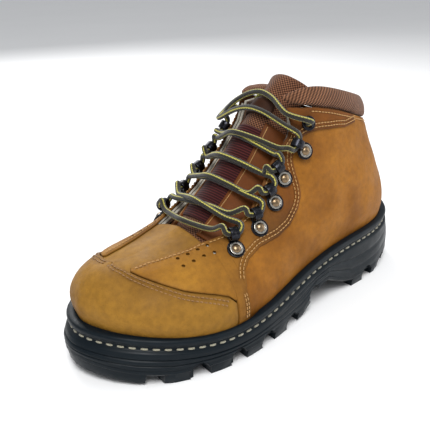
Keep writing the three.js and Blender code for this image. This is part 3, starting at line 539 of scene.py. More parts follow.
# ---------------------------------------------------------------- finishes
class Graph:
    """Small helper that wires a material's nodes."""

    def __init__(self, name: str) -> None:
        """Start a material with one Principled shader."""
        self.result = bpy.data.materials.new(name)
        self.result.use_nodes = True
        self.nodes = self.result.node_tree.nodes
        self.links = self.result.node_tree.links
        self.shader = self.nodes["Principled BSDF"]

    def put(self, kind: str, settings: dict | None = None, **inputs: object) -> bpy.types.Node:
        """Add a node.

        Args:
            kind: its Blender type.
            settings: properties of the node.
            inputs: values or links of its sockets, by name with _ for spaces.

        Returns:
            The node.
        """
        node = self.nodes.new(kind)
        for key, value in (settings or {}).items():
            setattr(node, key, value)
        for key, value in inputs.items():
            self.feed(node, key.replace("_", " "), value)
        return node

    def feed(self, node: bpy.types.Node, socket: str | int, value: object) -> None:
        """Link or set one input of a node."""
        target = node.inputs[socket]
        if isinstance(value, bpy.types.NodeSocket):
            self.links.new(value, target)
        elif isinstance(value, bpy.types.Node):
            self.links.new(value.outputs[0], target)
        else:
            target.default_value = value

    def objects(self) -> bpy.types.NodeSocket:
        """Object coordinates, in metres."""
        return self.put("ShaderNodeTexCoord").outputs["Object"]

    def noise(self, scale: float, detail: float = 4, where: object = None) -> bpy.types.NodeSocket:
        """Noise value at a scale, in waves a metre."""
        place = where if where is not None else self.objects()
        return self.put("ShaderNodeTexNoise", Vector=place, Scale=scale, Detail=detail).outputs["Fac"]

    def attribute(self, name: str) -> bpy.types.NodeSocket:
        """Number stored on the vertices."""
        return self.put("ShaderNodeAttribute", {"attribute_name": name}).outputs["Fac"]

    def math(self, operation: str, a: object, b: object = 0.0) -> bpy.types.NodeSocket:
        """One arithmetic step."""
        node = self.put("ShaderNodeMath", {"operation": operation})
        self.feed(node, 0, a)
        self.feed(node, 1, b)
        return node.outputs[0]

    def spread(
        self, value: object, low: float, high: float, to: tuple[float, float] = (0, 1)
    ) -> bpy.types.NodeSocket:
        """Map a value's range onto another, held at its ends."""
        ranges = {"From_Min": low, "From_Max": high, "To_Min": to[0], "To_Max": to[1]}
        return self.put("ShaderNodeMapRange", {"clamp": True}, Value=value, **ranges).outputs[0]

    def uv(self) -> bpy.types.NodeOutputs:
        """The piece's own UV, split in its parts."""
        return self.put("ShaderNodeSeparateXYZ", Vector=self.put("ShaderNodeUVMap").outputs["UV"]).outputs

    def mix(self, amount: object, a: object, b: object) -> bpy.types.NodeSocket:
        """Blend two colours."""
        node = self.put("ShaderNodeMix", {"data_type": "RGBA"})
        self.feed(node, 0, amount)
        for socket, value in ((6, a), (7, b)):
            if isinstance(value, tuple):
                value = (*value, 1.0)
            self.feed(node, socket, value)
        return node.outputs[2]

    def bump(
        self, height: object, strength: float, distance: float, under: object = None
    ) -> bpy.types.NodeSocket:
        """Normal bent by a height.

        Args:
            height: the height's socket.
            strength: share of the effect.
            distance: depth of a height of one, in metres.
            under: normal from a bump below this one.

        Returns:
            The normal's socket.
        """
        node = self.put("ShaderNodeBump", Strength=strength, Distance=distance, Height=height)
        if under is not None:
            self.feed(node, "Normal", under)
        return node.outputs[0]

    def dress(self, base: object, rough: object, normal: object = None, **more: object) -> bpy.types.Material:
        """Set the shader's sockets.

        Args:
            base: its colour.
            rough: its roughness.
            normal: its normal, where it has one.
            more: its other sockets by name, with _ for spaces.

        Returns:
            The material.
        """
        inputs = {"Base_Color": base, "Roughness": rough, **more}
        if normal is not None:
            inputs["Normal"] = normal
        for key, value in inputs.items():
            if isinstance(value, tuple):
                value = (*value, 1.0)
            self.feed(self.shader, key.replace("_", " "), value)
        return self.result


def rgb(red: int, green: int, blue: int) -> tuple[float, float, float]:
    """Linear colour of an 8-bit screen colour."""
    shares = (c / 255 for c in (red, green, blue))
    return tuple(c / 12.92 if c < 0.0429 else ((c + 0.055) / 1.055) ** 2.4 for c in shares)


@dataclass(frozen=True)
class Finish:
    """A material made on first use."""

    name: str

    def material(self) -> bpy.types.Material:
        """The material, made once."""
        return bpy.data.materials.get(self.name) or self.build()

    def build(self) -> bpy.types.Material:
        """Make the material; each finish has its own way."""
        raise NotImplementedError


@dataclass(frozen=True)
class Leather(Finish):
    """Oiled leather with a pebbled grain, mottled colour, dark cut edges and painted shade along its seam
    dents.
    """

    light: tuple[int, int, int] = (190, 135, 60)
    deep: tuple[int, int, int] = (120, 75, 28)
    cut: tuple[int, int, int] = (70, 42, 20)
    rough: float = 0.56
    grain: float = 0.3
    far: tuple[int, int, int] | None = None
    span: tuple[float, float] = (-0.09, 0.0)

    def build(self) -> bpy.types.Material:
        """Colour from slow and quick noise and the edge attribute, with painted shade from the seam
        attribute; bump from cells and creases.
        """
        g = Graph(self.name)
        slow = g.spread(g.noise(28, 5), 0.32, 0.7)
        quick = g.spread(g.noise(260, 6), 0.35, 0.75)
        base = g.mix(slow, rgb(*self.light), rgb(*self.deep))
        if self.far:
            parts = g.put("ShaderNodeSeparateXYZ", Vector=g.objects())
            behind = g.mix(slow, rgb(*self.far), rgb(*self.cut))
            base = g.mix(g.spread(parts.outputs[0], *self.span), base, behind)
        specks = g.spread(g.noise(1500, 2), 0.62, 0.75, (0, 0.45))
        edge = g.spread(g.attribute("edge"), 0.1, 1.3, (0.5, 0))
        # seam attribute: painted shade that darkens the leather in the dents along its seams.
        seam = g.spread(g.attribute("seam"), 0.0, 1.0, (0, 0.3))
        for amount in (g.math("MULTIPLY", quick, 0.3), specks, edge, seam):
            base = g.mix(amount, base, rgb(*self.cut))
        edges = {"feature": "DISTANCE_TO_EDGE"}
        cells = g.put("ShaderNodeTexVoronoi", edges, Vector=g.objects(), Scale=850.0)
        pebble = g.spread(cells.outputs["Distance"], 0, 0.28)
        normal = g.bump(pebble, self.grain, 0.0002)
        normal = g.bump(g.noise(190, 8), 0.35, 0.0006, normal)
        rough = g.spread(g.noise(60, 5), 0.3, 0.75, (self.rough - 0.09, self.rough + 0.13))
        return g.dress(base, rough, normal, Specular_IOR_Level=0.12)


@dataclass(frozen=True)
class Rubber(Finish):
    """Moulded rubber: nearly black blue, faintly stippled, with dusty scuffs."""

    colour: tuple[int, int, int] = (3, 14, 21)
    dust: tuple[int, int, int] = (18, 34, 42)

    def build(self) -> bpy.types.Material:
        """Dust in noise patches over a stippled skin."""
        g = Graph(self.name)
        patches = g.spread(g.noise(55, 8), 0.56, 0.8, (0, 0.3))
        base = g.mix(patches, rgb(*self.colour), rgb(*self.dust))
        normal = g.bump(g.noise(2600, 3), 0.22, 0.0002)
        normal = g.bump(g.noise(140, 4), 0.15, 0.0006, normal)
        rough = g.spread(g.noise(80, 6), 0.3, 0.7, (0.36, 0.54))
        return g.dress(base, rough, normal, Specular_IOR_Level=0.2)


@dataclass(frozen=True)
class Fabric(Finish):
    """Knitted spacer mesh or ribbed cloth, drawn along the piece's own UV in millimetres."""

    face: tuple[int, int, int] = (150, 105, 75)
    gap: tuple[int, int, int] = (60, 38, 26)
    pitch: float = 1.5
    ribs: bool = False

    def build(self) -> bpy.types.Material:
        """Rounded cells in brick rows, or straight ribs, over a fuzzy face."""
        g = Graph(self.name)
        parts = g.uv()
        turn = 2 * math.pi / self.pitch
        along = g.math("SINE", g.math("MULTIPLY", parts[0], turn))
        if self.ribs:
            lift = g.spread(along, -1, 1)
        else:
            across = g.math("SINE", g.math("MULTIPLY", parts[1], turn))
            lift = g.spread(g.math("MULTIPLY", along, across), -0.75, 0.45, (1, 0))
        fuzz = g.noise(3500, 3)
        base = g.mix(lift, rgb(*self.gap), rgb(*self.face))
        base = g.mix(g.spread(g.noise(120, 4), 0.4, 0.75, (0, 0.35)), base, rgb(*self.gap))
        normal = g.bump(g.math("ADD", lift, g.math("MULTIPLY", fuzz, 0.35)), 0.7, 0.0005)
        return g.dress(base, 0.9, normal, Sheen_Weight=0.12, Specular_IOR_Level=0.1)


@dataclass(frozen=True)
class Cloth(Finish):
    """Fine woven or felted stuff with no drawn repeat."""

    colour: tuple[int, int, int] = (60, 52, 46)
    shade: tuple[int, int, int] = (38, 33, 30)
    fineness: float = 1400

    def build(self) -> bpy.types.Material:
        """Crossed waves and noise in object coordinates."""
        g = Graph(self.name)
        fuzz = g.noise(self.fineness, 6)
        wave = g.put("ShaderNodeTexWave", Vector=g.objects(), Scale=self.fineness / 8, Distortion=1.5)
        lift = g.math("ADD", g.math("MULTIPLY", wave.outputs["Fac"], 0.4), fuzz)
        base = g.mix(g.spread(lift, 0.4, 0.9), rgb(*self.shade), rgb(*self.colour))
        normal = g.bump(lift, 0.5, 0.0003)
        return g.dress(base, 0.92, normal, Sheen_Weight=0.2, Specular_IOR_Level=0.2)


@dataclass(frozen=True)
class Metal(Finish):
    """Plated or burnished metal with fine scratches and worn spots."""

    colour: tuple[int, int, int] = (60, 62, 66)
    worn: tuple[int, int, int] = (150, 145, 135)
    rough: float = 0.28

    def build(self) -> bpy.types.Material:
        """Wear on noise spots, streaked roughness."""
        g = Graph(self.name)
        spots = g.spread(g.noise(300, 4), 0.55, 0.75, (0, 0.5))
        base = g.mix(spots, rgb(*self.colour), rgb(*self.worn))
        rough = g.spread(g.noise(900, 5), 0.3, 0.7, (self.rough - 0.08, self.rough + 0.14))
        normal = g.bump(g.noise(1200, 4), 0.12, 0.0001)
        return g.dress(base, rough, normal, Metallic=1.0)


@dataclass(frozen=True)
class Thread(Finish):
    """Twisted thread."""

    colour: tuple[int, int, int] = (200, 170, 110)
    shade: tuple[int, int, int] = (120, 90, 50)

    def build(self) -> bpy.types.Material:
        """Twist and grime from noise at the ply's size."""
        g = Graph(self.name)
        ply = g.noise(2600, 3)
        base = g.mix(g.spread(ply, 0.4, 0.72), rgb(*self.colour), rgb(*self.shade))
        return g.dress(base, 0.7, g.bump(ply, 0.5, 0.0002), Sheen_Weight=0.2)


@dataclass(frozen=True)
class Braid(Finish):
    """Round braided lace with two tracer lines; UV is metres along and turns around."""

    body: tuple[int, int, int] = (30, 28, 20)
    tracer: tuple[int, int, int] = (214, 204, 92)
    around: float = 10
    pitch: float = 0.0021

    def build(self) -> bpy.types.Material:
        """Crossing strands as bump and shade, tracers as two bands of every other strand."""
        g = Graph(self.name)
        parts = g.uv()
        length = g.math("MULTIPLY", parts[0], 2 * math.pi / self.pitch)
        turn = g.math("MULTIPLY", parts[1], 2 * math.pi * self.around)
        one = g.math("SINE", g.math("ADD", length, turn))
        two = g.math("SINE", g.math("SUBTRACT", length, turn))
        lift = g.spread(g.math("MAXIMUM", one, two), -0.2, 1)
        rows = g.math("ABSOLUTE", g.math("SINE", g.math("MULTIPLY", parts[1], 3 * math.pi)))
        band = g.spread(rows, 0.45, 0.25)
        dashes = g.spread(g.math("SINE", length), -0.95, -0.4, (0.35, 1))
        bright = g.math("MULTIPLY", band, dashes)
        base = g.mix(bright, rgb(*self.body), rgb(*self.tracer))
        dark = g.spread(lift, 0, 0.6, (0.6, 0))
        base = g.mix(dark, base, rgb(16, 16, 12))
        normal = g.bump(lift, 0.8, 0.0004)
        return g.dress(base, 0.72, normal, Sheen_Weight=0.25, Specular_IOR_Level=0.3)


@dataclass(frozen=True)
class Plastic(Finish):
    """Plain moulded or foamed stuff."""

    colour: tuple[int, int, int] = (40, 40, 40)
    rough: float = 0.5
    pores: float = 900

    def build(self) -> bpy.types.Material:
        """Pores from noise."""
        g = Graph(self.name)
        pores = g.noise(self.pores, 4)
        dark = tuple(int(c * 0.7) for c in self.colour)
        base = g.mix(g.spread(pores, 0.4, 0.7), rgb(*self.colour), rgb(*dark))
        return g.dress(base, self.rough, g.bump(pores, 0.3, 0.0002))


class Finishes:
    """The boot's finishes by name."""

    TOE = Leather("oiled_tan_leather", light=(152, 110, 40), deep=(118, 82, 28))
    SIDE = Leather("oiled_brown_leather", light=(164, 116, 40), deep=(128, 84, 24), far=(122, 70, 18))
    QUARTER = Leather("oiled_quarter_leather", light=(156, 102, 32), deep=(116, 70, 18))
    STRIP = Leather("tongue_leather", light=(142, 76, 26), deep=(98, 48, 16))
    KEEPER = Leather("keeper_leather", light=(84, 48, 26), deep=(46, 26, 16), cut=(24, 14, 9))
    LINING = Cloth("lining_cloth", (96, 72, 54), (56, 42, 32), 1100)
    COLLAR = Fabric("collar_mesh", (156, 108, 78), (52, 32, 22), 2.4)
    TONGUE_MESH = Fabric("tongue_mesh", (146, 98, 70), (48, 29, 21), 2.2)
    TONGUE_RIB = Fabric("tongue_rib", (84, 36, 34), (34, 16, 18), 1.7, True)
    RUBBER = Rubber("moulded_rubber")
    CREAM = Thread("cream_thread", (164, 160, 140), (104, 98, 80))
    TAN_THREAD = Thread("brown_thread", (150, 108, 56), (88, 58, 28))
    LIGHT = Thread("tan_thread", (192, 146, 80), (122, 86, 40))
    LIME = Thread("lime_thread", (184, 184, 72), (110, 110, 44))
    NICKEL = Metal("black_nickel_plate", (44, 45, 50), (120, 118, 116), 0.26)
    WASHER = Metal("washer_metal", (170, 166, 158), (214, 208, 198), 0.22)
    RIVET = Metal("rivet_pewter", (128, 108, 84), (182, 160, 128), 0.32)
    STEEL = Metal("pressed_steel", (150, 152, 156), (190, 190, 192), 0.3)
    BRAID = Braid("lace_weave")
    TIP = Plastic("tip_film", (30, 30, 28), 0.25)
    BOARD = Cloth("insole_board", (150, 132, 100), (110, 94, 70), 900)
    FOOTBED = Cloth("footbed_cloth", (52, 52, 56), (32, 32, 36), 1500)
    FOAM = Plastic("padding_foam", (196, 190, 176), 0.9, 1500)


# ---------------------------------------------------------------- leather panels and seams
def nearest(points: np.ndarray, line: np.ndarray) -> np.ndarray:
    """Distance of each point from a densely sampled line."""
    flat = points.reshape(-1, 3)
    out = np.empty(len(flat))
    batch = 4000
    for i in range(0, len(flat), batch):
        out[i : i + batch] = np.linalg.norm(flat[i : i + batch, None] - line[None], axis=-1).min(1)
    return out.reshape(points.shape[:-1])


def undulation(points: np.ndarray, wave: float, seed: int) -> np.ndarray:
    """Slow seeded waves over space, about -1 to 1, of a wavelength in millimetres."""
    rng = np.random.default_rng(seed)
    total = np.zeros(points.shape[:-1])
    for _ in range(9):
        direction = unit(rng.normal(size=3))
        turns = points @ direction * (2 * math.pi / (wave * rng.uniform(0.6, 1.6)))
        total += np.sin(turns + rng.uniform(0, 6.28))
    return total / 4.5


@dataclass
class Seam:
    """Row of stitches along a line of the last.

    Attributes:
        line: (s, t) pairs in order; s is negative on the medial side.
        rise: distance of the stitches from the last's surface.
        pitch: spacing of the stitches.
        radius: half the thread's thickness.
    """

    line: list[tuple[float, float]]
    rise: float = 1.4
    pitch: float = 2.7
    radius: float = 0.38

    def places(self) -> tuple[np.ndarray, np.ndarray, np.ndarray]:
        """Middles, directions and normals of the stitches."""
        at = np.array(self.line, float)
        knots = np.arange(len(at))
        u = np.linspace(0, len(at) - 1, 1200)
        path = LAST.skin(*places_on(at, u, knots).T, self.rise)
        run = run_along(path)
        count = max(2, int(run[-1] / self.pitch))
        stops = (np.arange(count) + 0.5) * run[-1] / count
        s, t = places_on(at, np.interp(stops, run, u), knots).T
        step = 0.6
        along = unit(places_on(path, stops + step, run) - places_on(path, stops - step, run))
        return LAST.skin(s, t, self.rise), along, LAST.normal(s, t)

    def dense(self) -> np.ndarray:
        """Closely spaced points of the seam on the last's surface."""
        at = np.array(self.line, float)
        return LAST.surface(*places_on(at, np.linspace(0, len(at) - 1, 700), np.arange(len(at))).T)


def stitch_mesh(
    name: str,
    middles: np.ndarray,
    along: np.ndarray,
    normals: np.ndarray,
    length: float,
    radius: float,
) -> bpy.types.Object:
    """One mesh of short round-ended threads.

    Args:
        name: object name.
        middles: middle of each thread, in millimetres on the last's axes.
        along: unit direction of each.
        normals: unit normal of the ground under each.
        length: length of a thread.
        radius: half its thickness.

    Returns:
        The object.
    """
    sides = 6
    # Each ring: place along the thread, share of its thickness, rise over the ground.
    rings = ((-0.5, 0.25, -0.5), (-0.4, 0.85, -0.1), (0, 1.0, 0.25), (0.4, 0.85, -0.1), (0.5, 0.25, -0.5))
    across = np.cross(normals, along)
    points, faces = [], []
    turn = np.linspace(0, 2 * math.pi, sides, endpoint=False)
    for m, a, n, c in zip(middles, along, normals, across):
        start = len(points)
        for place, size, lift in rings:
            for angle in turn:
                sideways = c * math.cos(angle) * radius * size
                upwards = n * (math.sin(angle) * radius * size + lift * radius)
                points.append(m + a * place * length + (sideways + upwards))
        faces += strand_faces(len(rings), sides, start)
    return new_object(name, metres(np.array(points)), faces)


@dataclass
class Panel:
    """Piece of leather on the last.

    Attributes:
        name: name of the piece.
        low, high: its lower and upper edge, t as a function of s.
        start, end: its ends along s.
        inner, outer: offsets of its two faces.
        side: side of the foot that it lies on.
        seams: rows of stitches that pull it in.
        free: which edges are cut and rounded: low, high, start, end.
        columns, rows: size of its grid.
        swell: height of the slow waves of its face.
        extra: further stations of its grid.
        both: whether it runs over both sides, from -end to end.
        ridge: whether its upper edge is folded on the centre line.
    """

    name: str
    low: Reading
    high: Reading
    start: float
    end: float
    inner: float
    outer: float
    side: Side = Side.LATERAL
    seams: list[Seam] = field(default_factory=list)
    free: tuple[bool, bool, bool, bool] = (True, True, True, True)
    columns: int = 300
    rows: int = 44
    swell: float = 0.22
    extra: tuple[float, ...] = ()
    both: bool = False
    ridge: bool = False

    def _places(self) -> tuple[np.ndarray, np.ndarray]:
        """s and t of the grid."""
        near = np.array([0, 0.0015, 0.004, 0.008, 0.014, 0.022, 0.034])
        across = np.concatenate([near, np.linspace(0.05, 0.95, self.rows - 14), 1 - near[::-1]])
        ends = np.array([0, 0.006, 0.015, 0.03, 0.05])
        middle = np.linspace(self.start + 0.07, self.end - 0.07, self.columns - 10)
        s = np.unique(np.concatenate([self.start + ends, middle, self.end - ends[::-1], self.extra]))
        s = s[s >= self.start]
        low, high = self.low(s)[:, None], self.high(s)[:, None]
        if self.both:
            s = np.concatenate([-s[:0:-1], s])
            low, high = np.concatenate([low[:0:-1], low]), np.concatenate([high[:0:-1], high])
        return np.broadcast_to(s[:, None], (len(s), len(across))), low + (high - low) * across[None]

    def build(self) -> bpy.types.Object:
        """Make the panel: a slab with rounded cut edges, dents along its seams and slow waves."""
        s, t = self._places()
        ground, normal = LAST.at(self.side, s, t)
        if self.ridge:
            normal[:, -1, 1] = 0
            normal[:, -1] = unit(normal[:, -1])
        down, run = run_along(ground, 1), run_along(ground)
        edges = [down, down[:, -1:] - down, run, run[-1:] - run]
        edge = np.full(s.shape, FAR)
        for used, distance in zip(self.free, edges):
            if used:
                edge = np.minimum(edge, distance)
        seam = np.full(s.shape, FAR)
        for row in self.seams:
            seam = np.minimum(seam, nearest(ground, row.dense()))
        # pull dents the face along the seams; stored as the seam attribute, it also paints shade into those
        # dents.
        pull = np.exp(-((seam / 1.1) ** 2))
        swell = self.swell * undulation(ground, 26, 3) + 0.09 * undulation(ground, 9, 5)
        fade = np.clip(edge / 5, 0, 1)
        skived = 0.5 * np.exp(-((edge / 2.2) ** 2))
        radius = min(0.8, (self.outer - self.inner) * 0.5)
        outer = self.outer - edge_round(edge, radius) - skived - 0.3 * pull + swell * fade
        outside = ground + normal * outer[..., None]
        inside = ground + normal * self.inner
        points = np.concatenate([outside.reshape(-1, 3), inside.reshape(-1, 3)])
        values = {"edge": np.tile(edge.ravel(), 2), "seam": np.tile(pull.ravel(), 2)}
        return new_object(self.name, metres(points), slab_faces(*s.shape, self.ridge), values)


class Lines:
    """Edges of the leather pieces, t at s, shared by the panels and seams."""

    TOE = [
        [0, 0.97], [0.9, 0.93], [1.8, 0.82], [2.6, 0.65], [3.4, 0.465], [4.1, 0.34], [4.42, 0.27],
        [4.57, 0.2],
    ]
    PLUG = [[2, 0.825], [2.7, 0.85], [3.5, 0.84], [4.1, 0.82], [4.45, 0.815], [4.62, 0.8]]
    EYESTAY = [
        [4.62, 0.8], [4.75, 0.79], [5.3, 0.745], [6.2, 0.725], [6.9, 0.755], [7.5, 0.795], [8, 0.8],
        [8.3, 0.81], [8.6, 0.85], [8.85, 0.94], [9.1, 0.9], [9.6, 0.872], [10.1, 0.862], [13, 0.86],
    ]
    QUARTER = [
        [4.92, 0.24], [5.1, 0.41], [5.36, 0.47], [5.82, 0.48], [6.46, 0.42], [6.91, 0.41], [7.35, 0.45],
        [7.6, 0.5], [7.72, 0.56], [7.82, 0.63], [7.98, 0.7], [8.3, 0.745], [8.7, 0.76], [9.4, 0.745],
        [10, 0.755], [10.6, 0.81],
    ]
    QUARTER_TOP = [
        [4.62, 0.18], [4.85, 0.26], [5.1, 0.44], [5.36, 0.51], [5.9, 0.52], [6.5, 0.46], [6.9, 0.45],
        [7.3, 0.49], [7.5, 0.57], [7.65, 0.65], [7.85, 0.72], [8.4, 0.79], [9, 0.84], [9.6, 0.868],
        [13, 0.86],
    ]
    COLLAR_BASE = [[8.95, 0.952], [9.2, 0.907], [9.6, 0.88], [10.2, 0.8735], [13, 0.8665]]
    VAMP_END = 4.58
    TOE_END = 4.57
    SIDE_START = 2.02
    SIDE_END = 10.6


def bend(line: Line, offset: float, start: float, end: float, side: Side) -> list[tuple[float, float]]:
    """Line that keeps its distance from an edge.

    Args:
        line: the edge.
        offset: millimetres, upwards on the last where positive.
        start, end: stations that it runs between.
        side: side of the foot.

    Returns:
        (s, t) pairs.
    """
    read = smooth_reading(line)
    s = np.linspace(start, end, 140)
    t = read(s)
    e = 0.01
    along = LAST.surface(s + e, read(s + e)) - LAST.surface(s - e, read(s - e))
    du = LAST.surface(s + e, t) - LAST.surface(s - e, t)
    dv = LAST.surface(s, t + e) - LAST.surface(s, t - e)
    sideways = unit(np.cross(np.cross(du, dv), unit(along)))
    gram = np.stack([(du * du).sum(1), (du * dv).sum(1), (dv * dv).sum(1)]) / (4 * e * e)
    want = np.stack([(sideways * du).sum(1), (sideways * dv).sum(1)]) * offset / (2 * e)
    det = gram[0] * gram[2] - gram[1] ** 2
    ds = (want[0] * gram[2] - want[1] * gram[1]) / det
    dt = (want[1] * gram[0] - want[0] * gram[1]) / det
    return [(side.value * a, b) for a, b in zip(s + ds, t + dt)]


@dataclass
class Upper:
    """Leather upper: vamp, toe overlay, side panels and quarters, with their seams."""

    top: tuple[float, float] = (-0.2, 1.4)
    main: tuple[float, float] = (-2.2, -0.5)
    toe_rows: tuple[float, float] = (2.2, 4.8)
    quarter_rows: tuple[float, float] = (2.2, 4.6)
    stitch: float = 2.1
    eyelet_hole: float = 3.0
    holes: tuple[tuple[float, float], ...] = (
        (3.65, 0.695), (3.98, 0.7), (4.31, 0.7), (4.62, 0.68),
        (3.63, 0.775), (3.96, 0.775), (4.29, 0.77), (4.6, 0.76),
    )
    hole_radius: float = 1.15
    seams: list[tuple[str, Finish, Seam]] = field(default_factory=list)

    def _row(self, part: str, line: list[tuple[float, float]], rise: float = 1.4) -> None:
        """Note one row of stitches of a part."""
        finish = Finishes.TAN_THREAD if part == "toe" else Finishes.LIGHT
        self.seams.append((part, finish, Seam(line, rise)))

    def _plan_seams(self) -> None:
        """Lay out every seam; panels read them for their dents."""
        for side in Side:
            for offset in self.toe_rows:
                self._row("toe", bend(Lines.TOE, -offset, 1.0, 4.42, side))
            self._row("side", bend(Lines.PLUG, -2.4, 2.12, 4.6, side))
            self._row("side", bend(Lines.EYESTAY, -2.4, 4.72, 8.55, side))
            self._row("side", bend(Lines.EYESTAY, -2.6, 9.3, 10.55, side))
            for offset in self.quarter_rows:
                self._row("side", bend(Lines.QUARTER, offset, 5.02, 10.55, side))
                s = side.value * (4.92 - 0.024 * (offset - 0.2))
                self._row("side", [(s, t) for t in np.linspace(0.02, 0.24, 20)])
            self._row("quarter", bend(Lines.QUARTER_TOP, -2.6, 9.8, 12.98, side), -0.5)

    def _dents(self, part: str, side: Side | None = None) -> list[Seam]:
        """Seams of one part, of one side where it is given."""
        found = [seam for name, _, seam in self.seams if name == part]
        if side is not None:
            found = [seam for seam in found if seam.line[40 % len(seam.line)][0] * side.value > 0]
        return found

    def _toe(self) -> None:
        """The vamp under everything and the overlay on the toe."""
        vamp = Panel(
            "vamp_leather", lambda s: 0 * s - 1, lambda s: 0 * s + 1, 0, Lines.VAMP_END, *self.main,
            free=(False, False, True, True), columns=120, rows=60, both=True, ridge=True,
        )
        overlay = Panel(
            "toe_overlay_leather", lambda s: 0 * s - 1, reading(Lines.TOE), 0, Lines.TOE_END, *self.top,
            seams=self._dents("toe"), free=(False, True, True, True), columns=240, rows=52, swell=0.3,
            both=True,
        )
        for panel, node in ((vamp, "vamp"), (overlay, "toe_overlay")):
            finish_piece(panel.build(), Finishes.TOE, [node])

    def _quarters(self) -> None:
        """Quarter and side panel of each side."""
        for side in Side:
            quarter = Panel(
                f"quarter_{side.label}_leather", lambda s: 0 * s - 1, reading(Lines.QUARTER_TOP), 4.62,
                12.985, *self.main, side, self._dents("quarter", side), (False, True, True, True), 330, 60,
                0.35,
            )
            finish_piece(quarter.build(), Finishes.QUARTER, [f"quarter_{side.label}"])
            toe, lower = reading(Lines.TOE), reading(Lines.QUARTER)
            plug, eyestay = reading(Lines.PLUG), reading(Lines.EYESTAY)

            def bottom(s: np.ndarray) -> np.ndarray:
                """Lower edge: above the toe overlay, down to the sole, then the quarter seam."""
                strip = np.where(s < 4.925, -1.0, lower(s))
                return np.where(s < 4.6, toe(s) + 0.012, strip)

            def top(s: np.ndarray) -> np.ndarray:
                """Upper edge: the plug seam, then the edge beside the tongue."""
                return np.where(s < 4.62, plug(s), eyestay(s))

            panel = Panel(
                f"side_panel_{side.label}_leather", bottom, top, Lines.SIDE_START, Lines.SIDE_END, *self.top,
                side, self._dents("side", side), columns=360, rows=56, extra=(4.592, 4.604, 4.918, 4.93),
            )
            made = panel.build()
            self._punch(made, side)
            finish_piece(made, Finishes.SIDE, [f"side_panel_{side.label}"])

    def _punch(self, panel: bpy.types.Object, side: Side) -> None:
        """Cut the vent holes and the top eyelet's hole through a side panel."""
        bits = []
        sizes = [self.hole_radius] * len(self.holes) + [self.eyelet_hole]
        for place, radius in zip([*self.holes, Hardware.EYELET], sizes):
            point, normal = LAST.at(side, *place)
            turn = Vector(normal).to_track_quat("Z", "Y").to_euler()
            bits.append(cylinder(radius, 9, metres(point), 20, turn))
        combine(panel, join(bits), "DIFFERENCE")

    def _stitch(self) -> None:
        """Make the stitches of each finish as one piece."""
        for finish in (Finishes.TAN_THREAD, Finishes.LIGHT):
            found = [seam.places() for _, used, seam in self.seams if used is finish]
            rows = (np.concatenate(part) for part in zip(*found))
            made = stitch_mesh(f"{finish.name}_seams", *rows, self.stitch, Seam.radius)
            finish_piece(made, finish)

    def build(self) -> None:
        """Build the whole upper."""
        self._plan_seams()
        self._toe()
        self._quarters()
        self._stitch()


def smooth_copy(node: str, name: str, bevel: float = 0.0, angle: float = 40) -> bpy.types.Object:
    """Merged copy of a CAD node's mesh, with its sharp edges bevelled.

    Args:
        node: the CAD node.
        name: name of the copy.
        bevel: width of the bevel in millimetres, 0 for none.
        angle: edges sharper than this in degrees are bevelled.

    Returns:
        The copy.
    """
    mesh = cad(node).data.copy()
    mesh.name = name
    obj = link(name, mesh)
    weld(obj)
    soften(obj, bevel, angle)
    return obj


def soften(obj: bpy.types.Object, bevel: float, angle: float) -> None:
    """Bevel an object's edges sharper than an angle, by a width in millimetres, and smooth the rest."""
    if bevel:
        add_bevel(obj, bevel, angle)
        apply_modifiers(obj)
    select_only(obj)
    bpy.ops.object.shade_smooth_by_angle(angle=math.radians(angle))


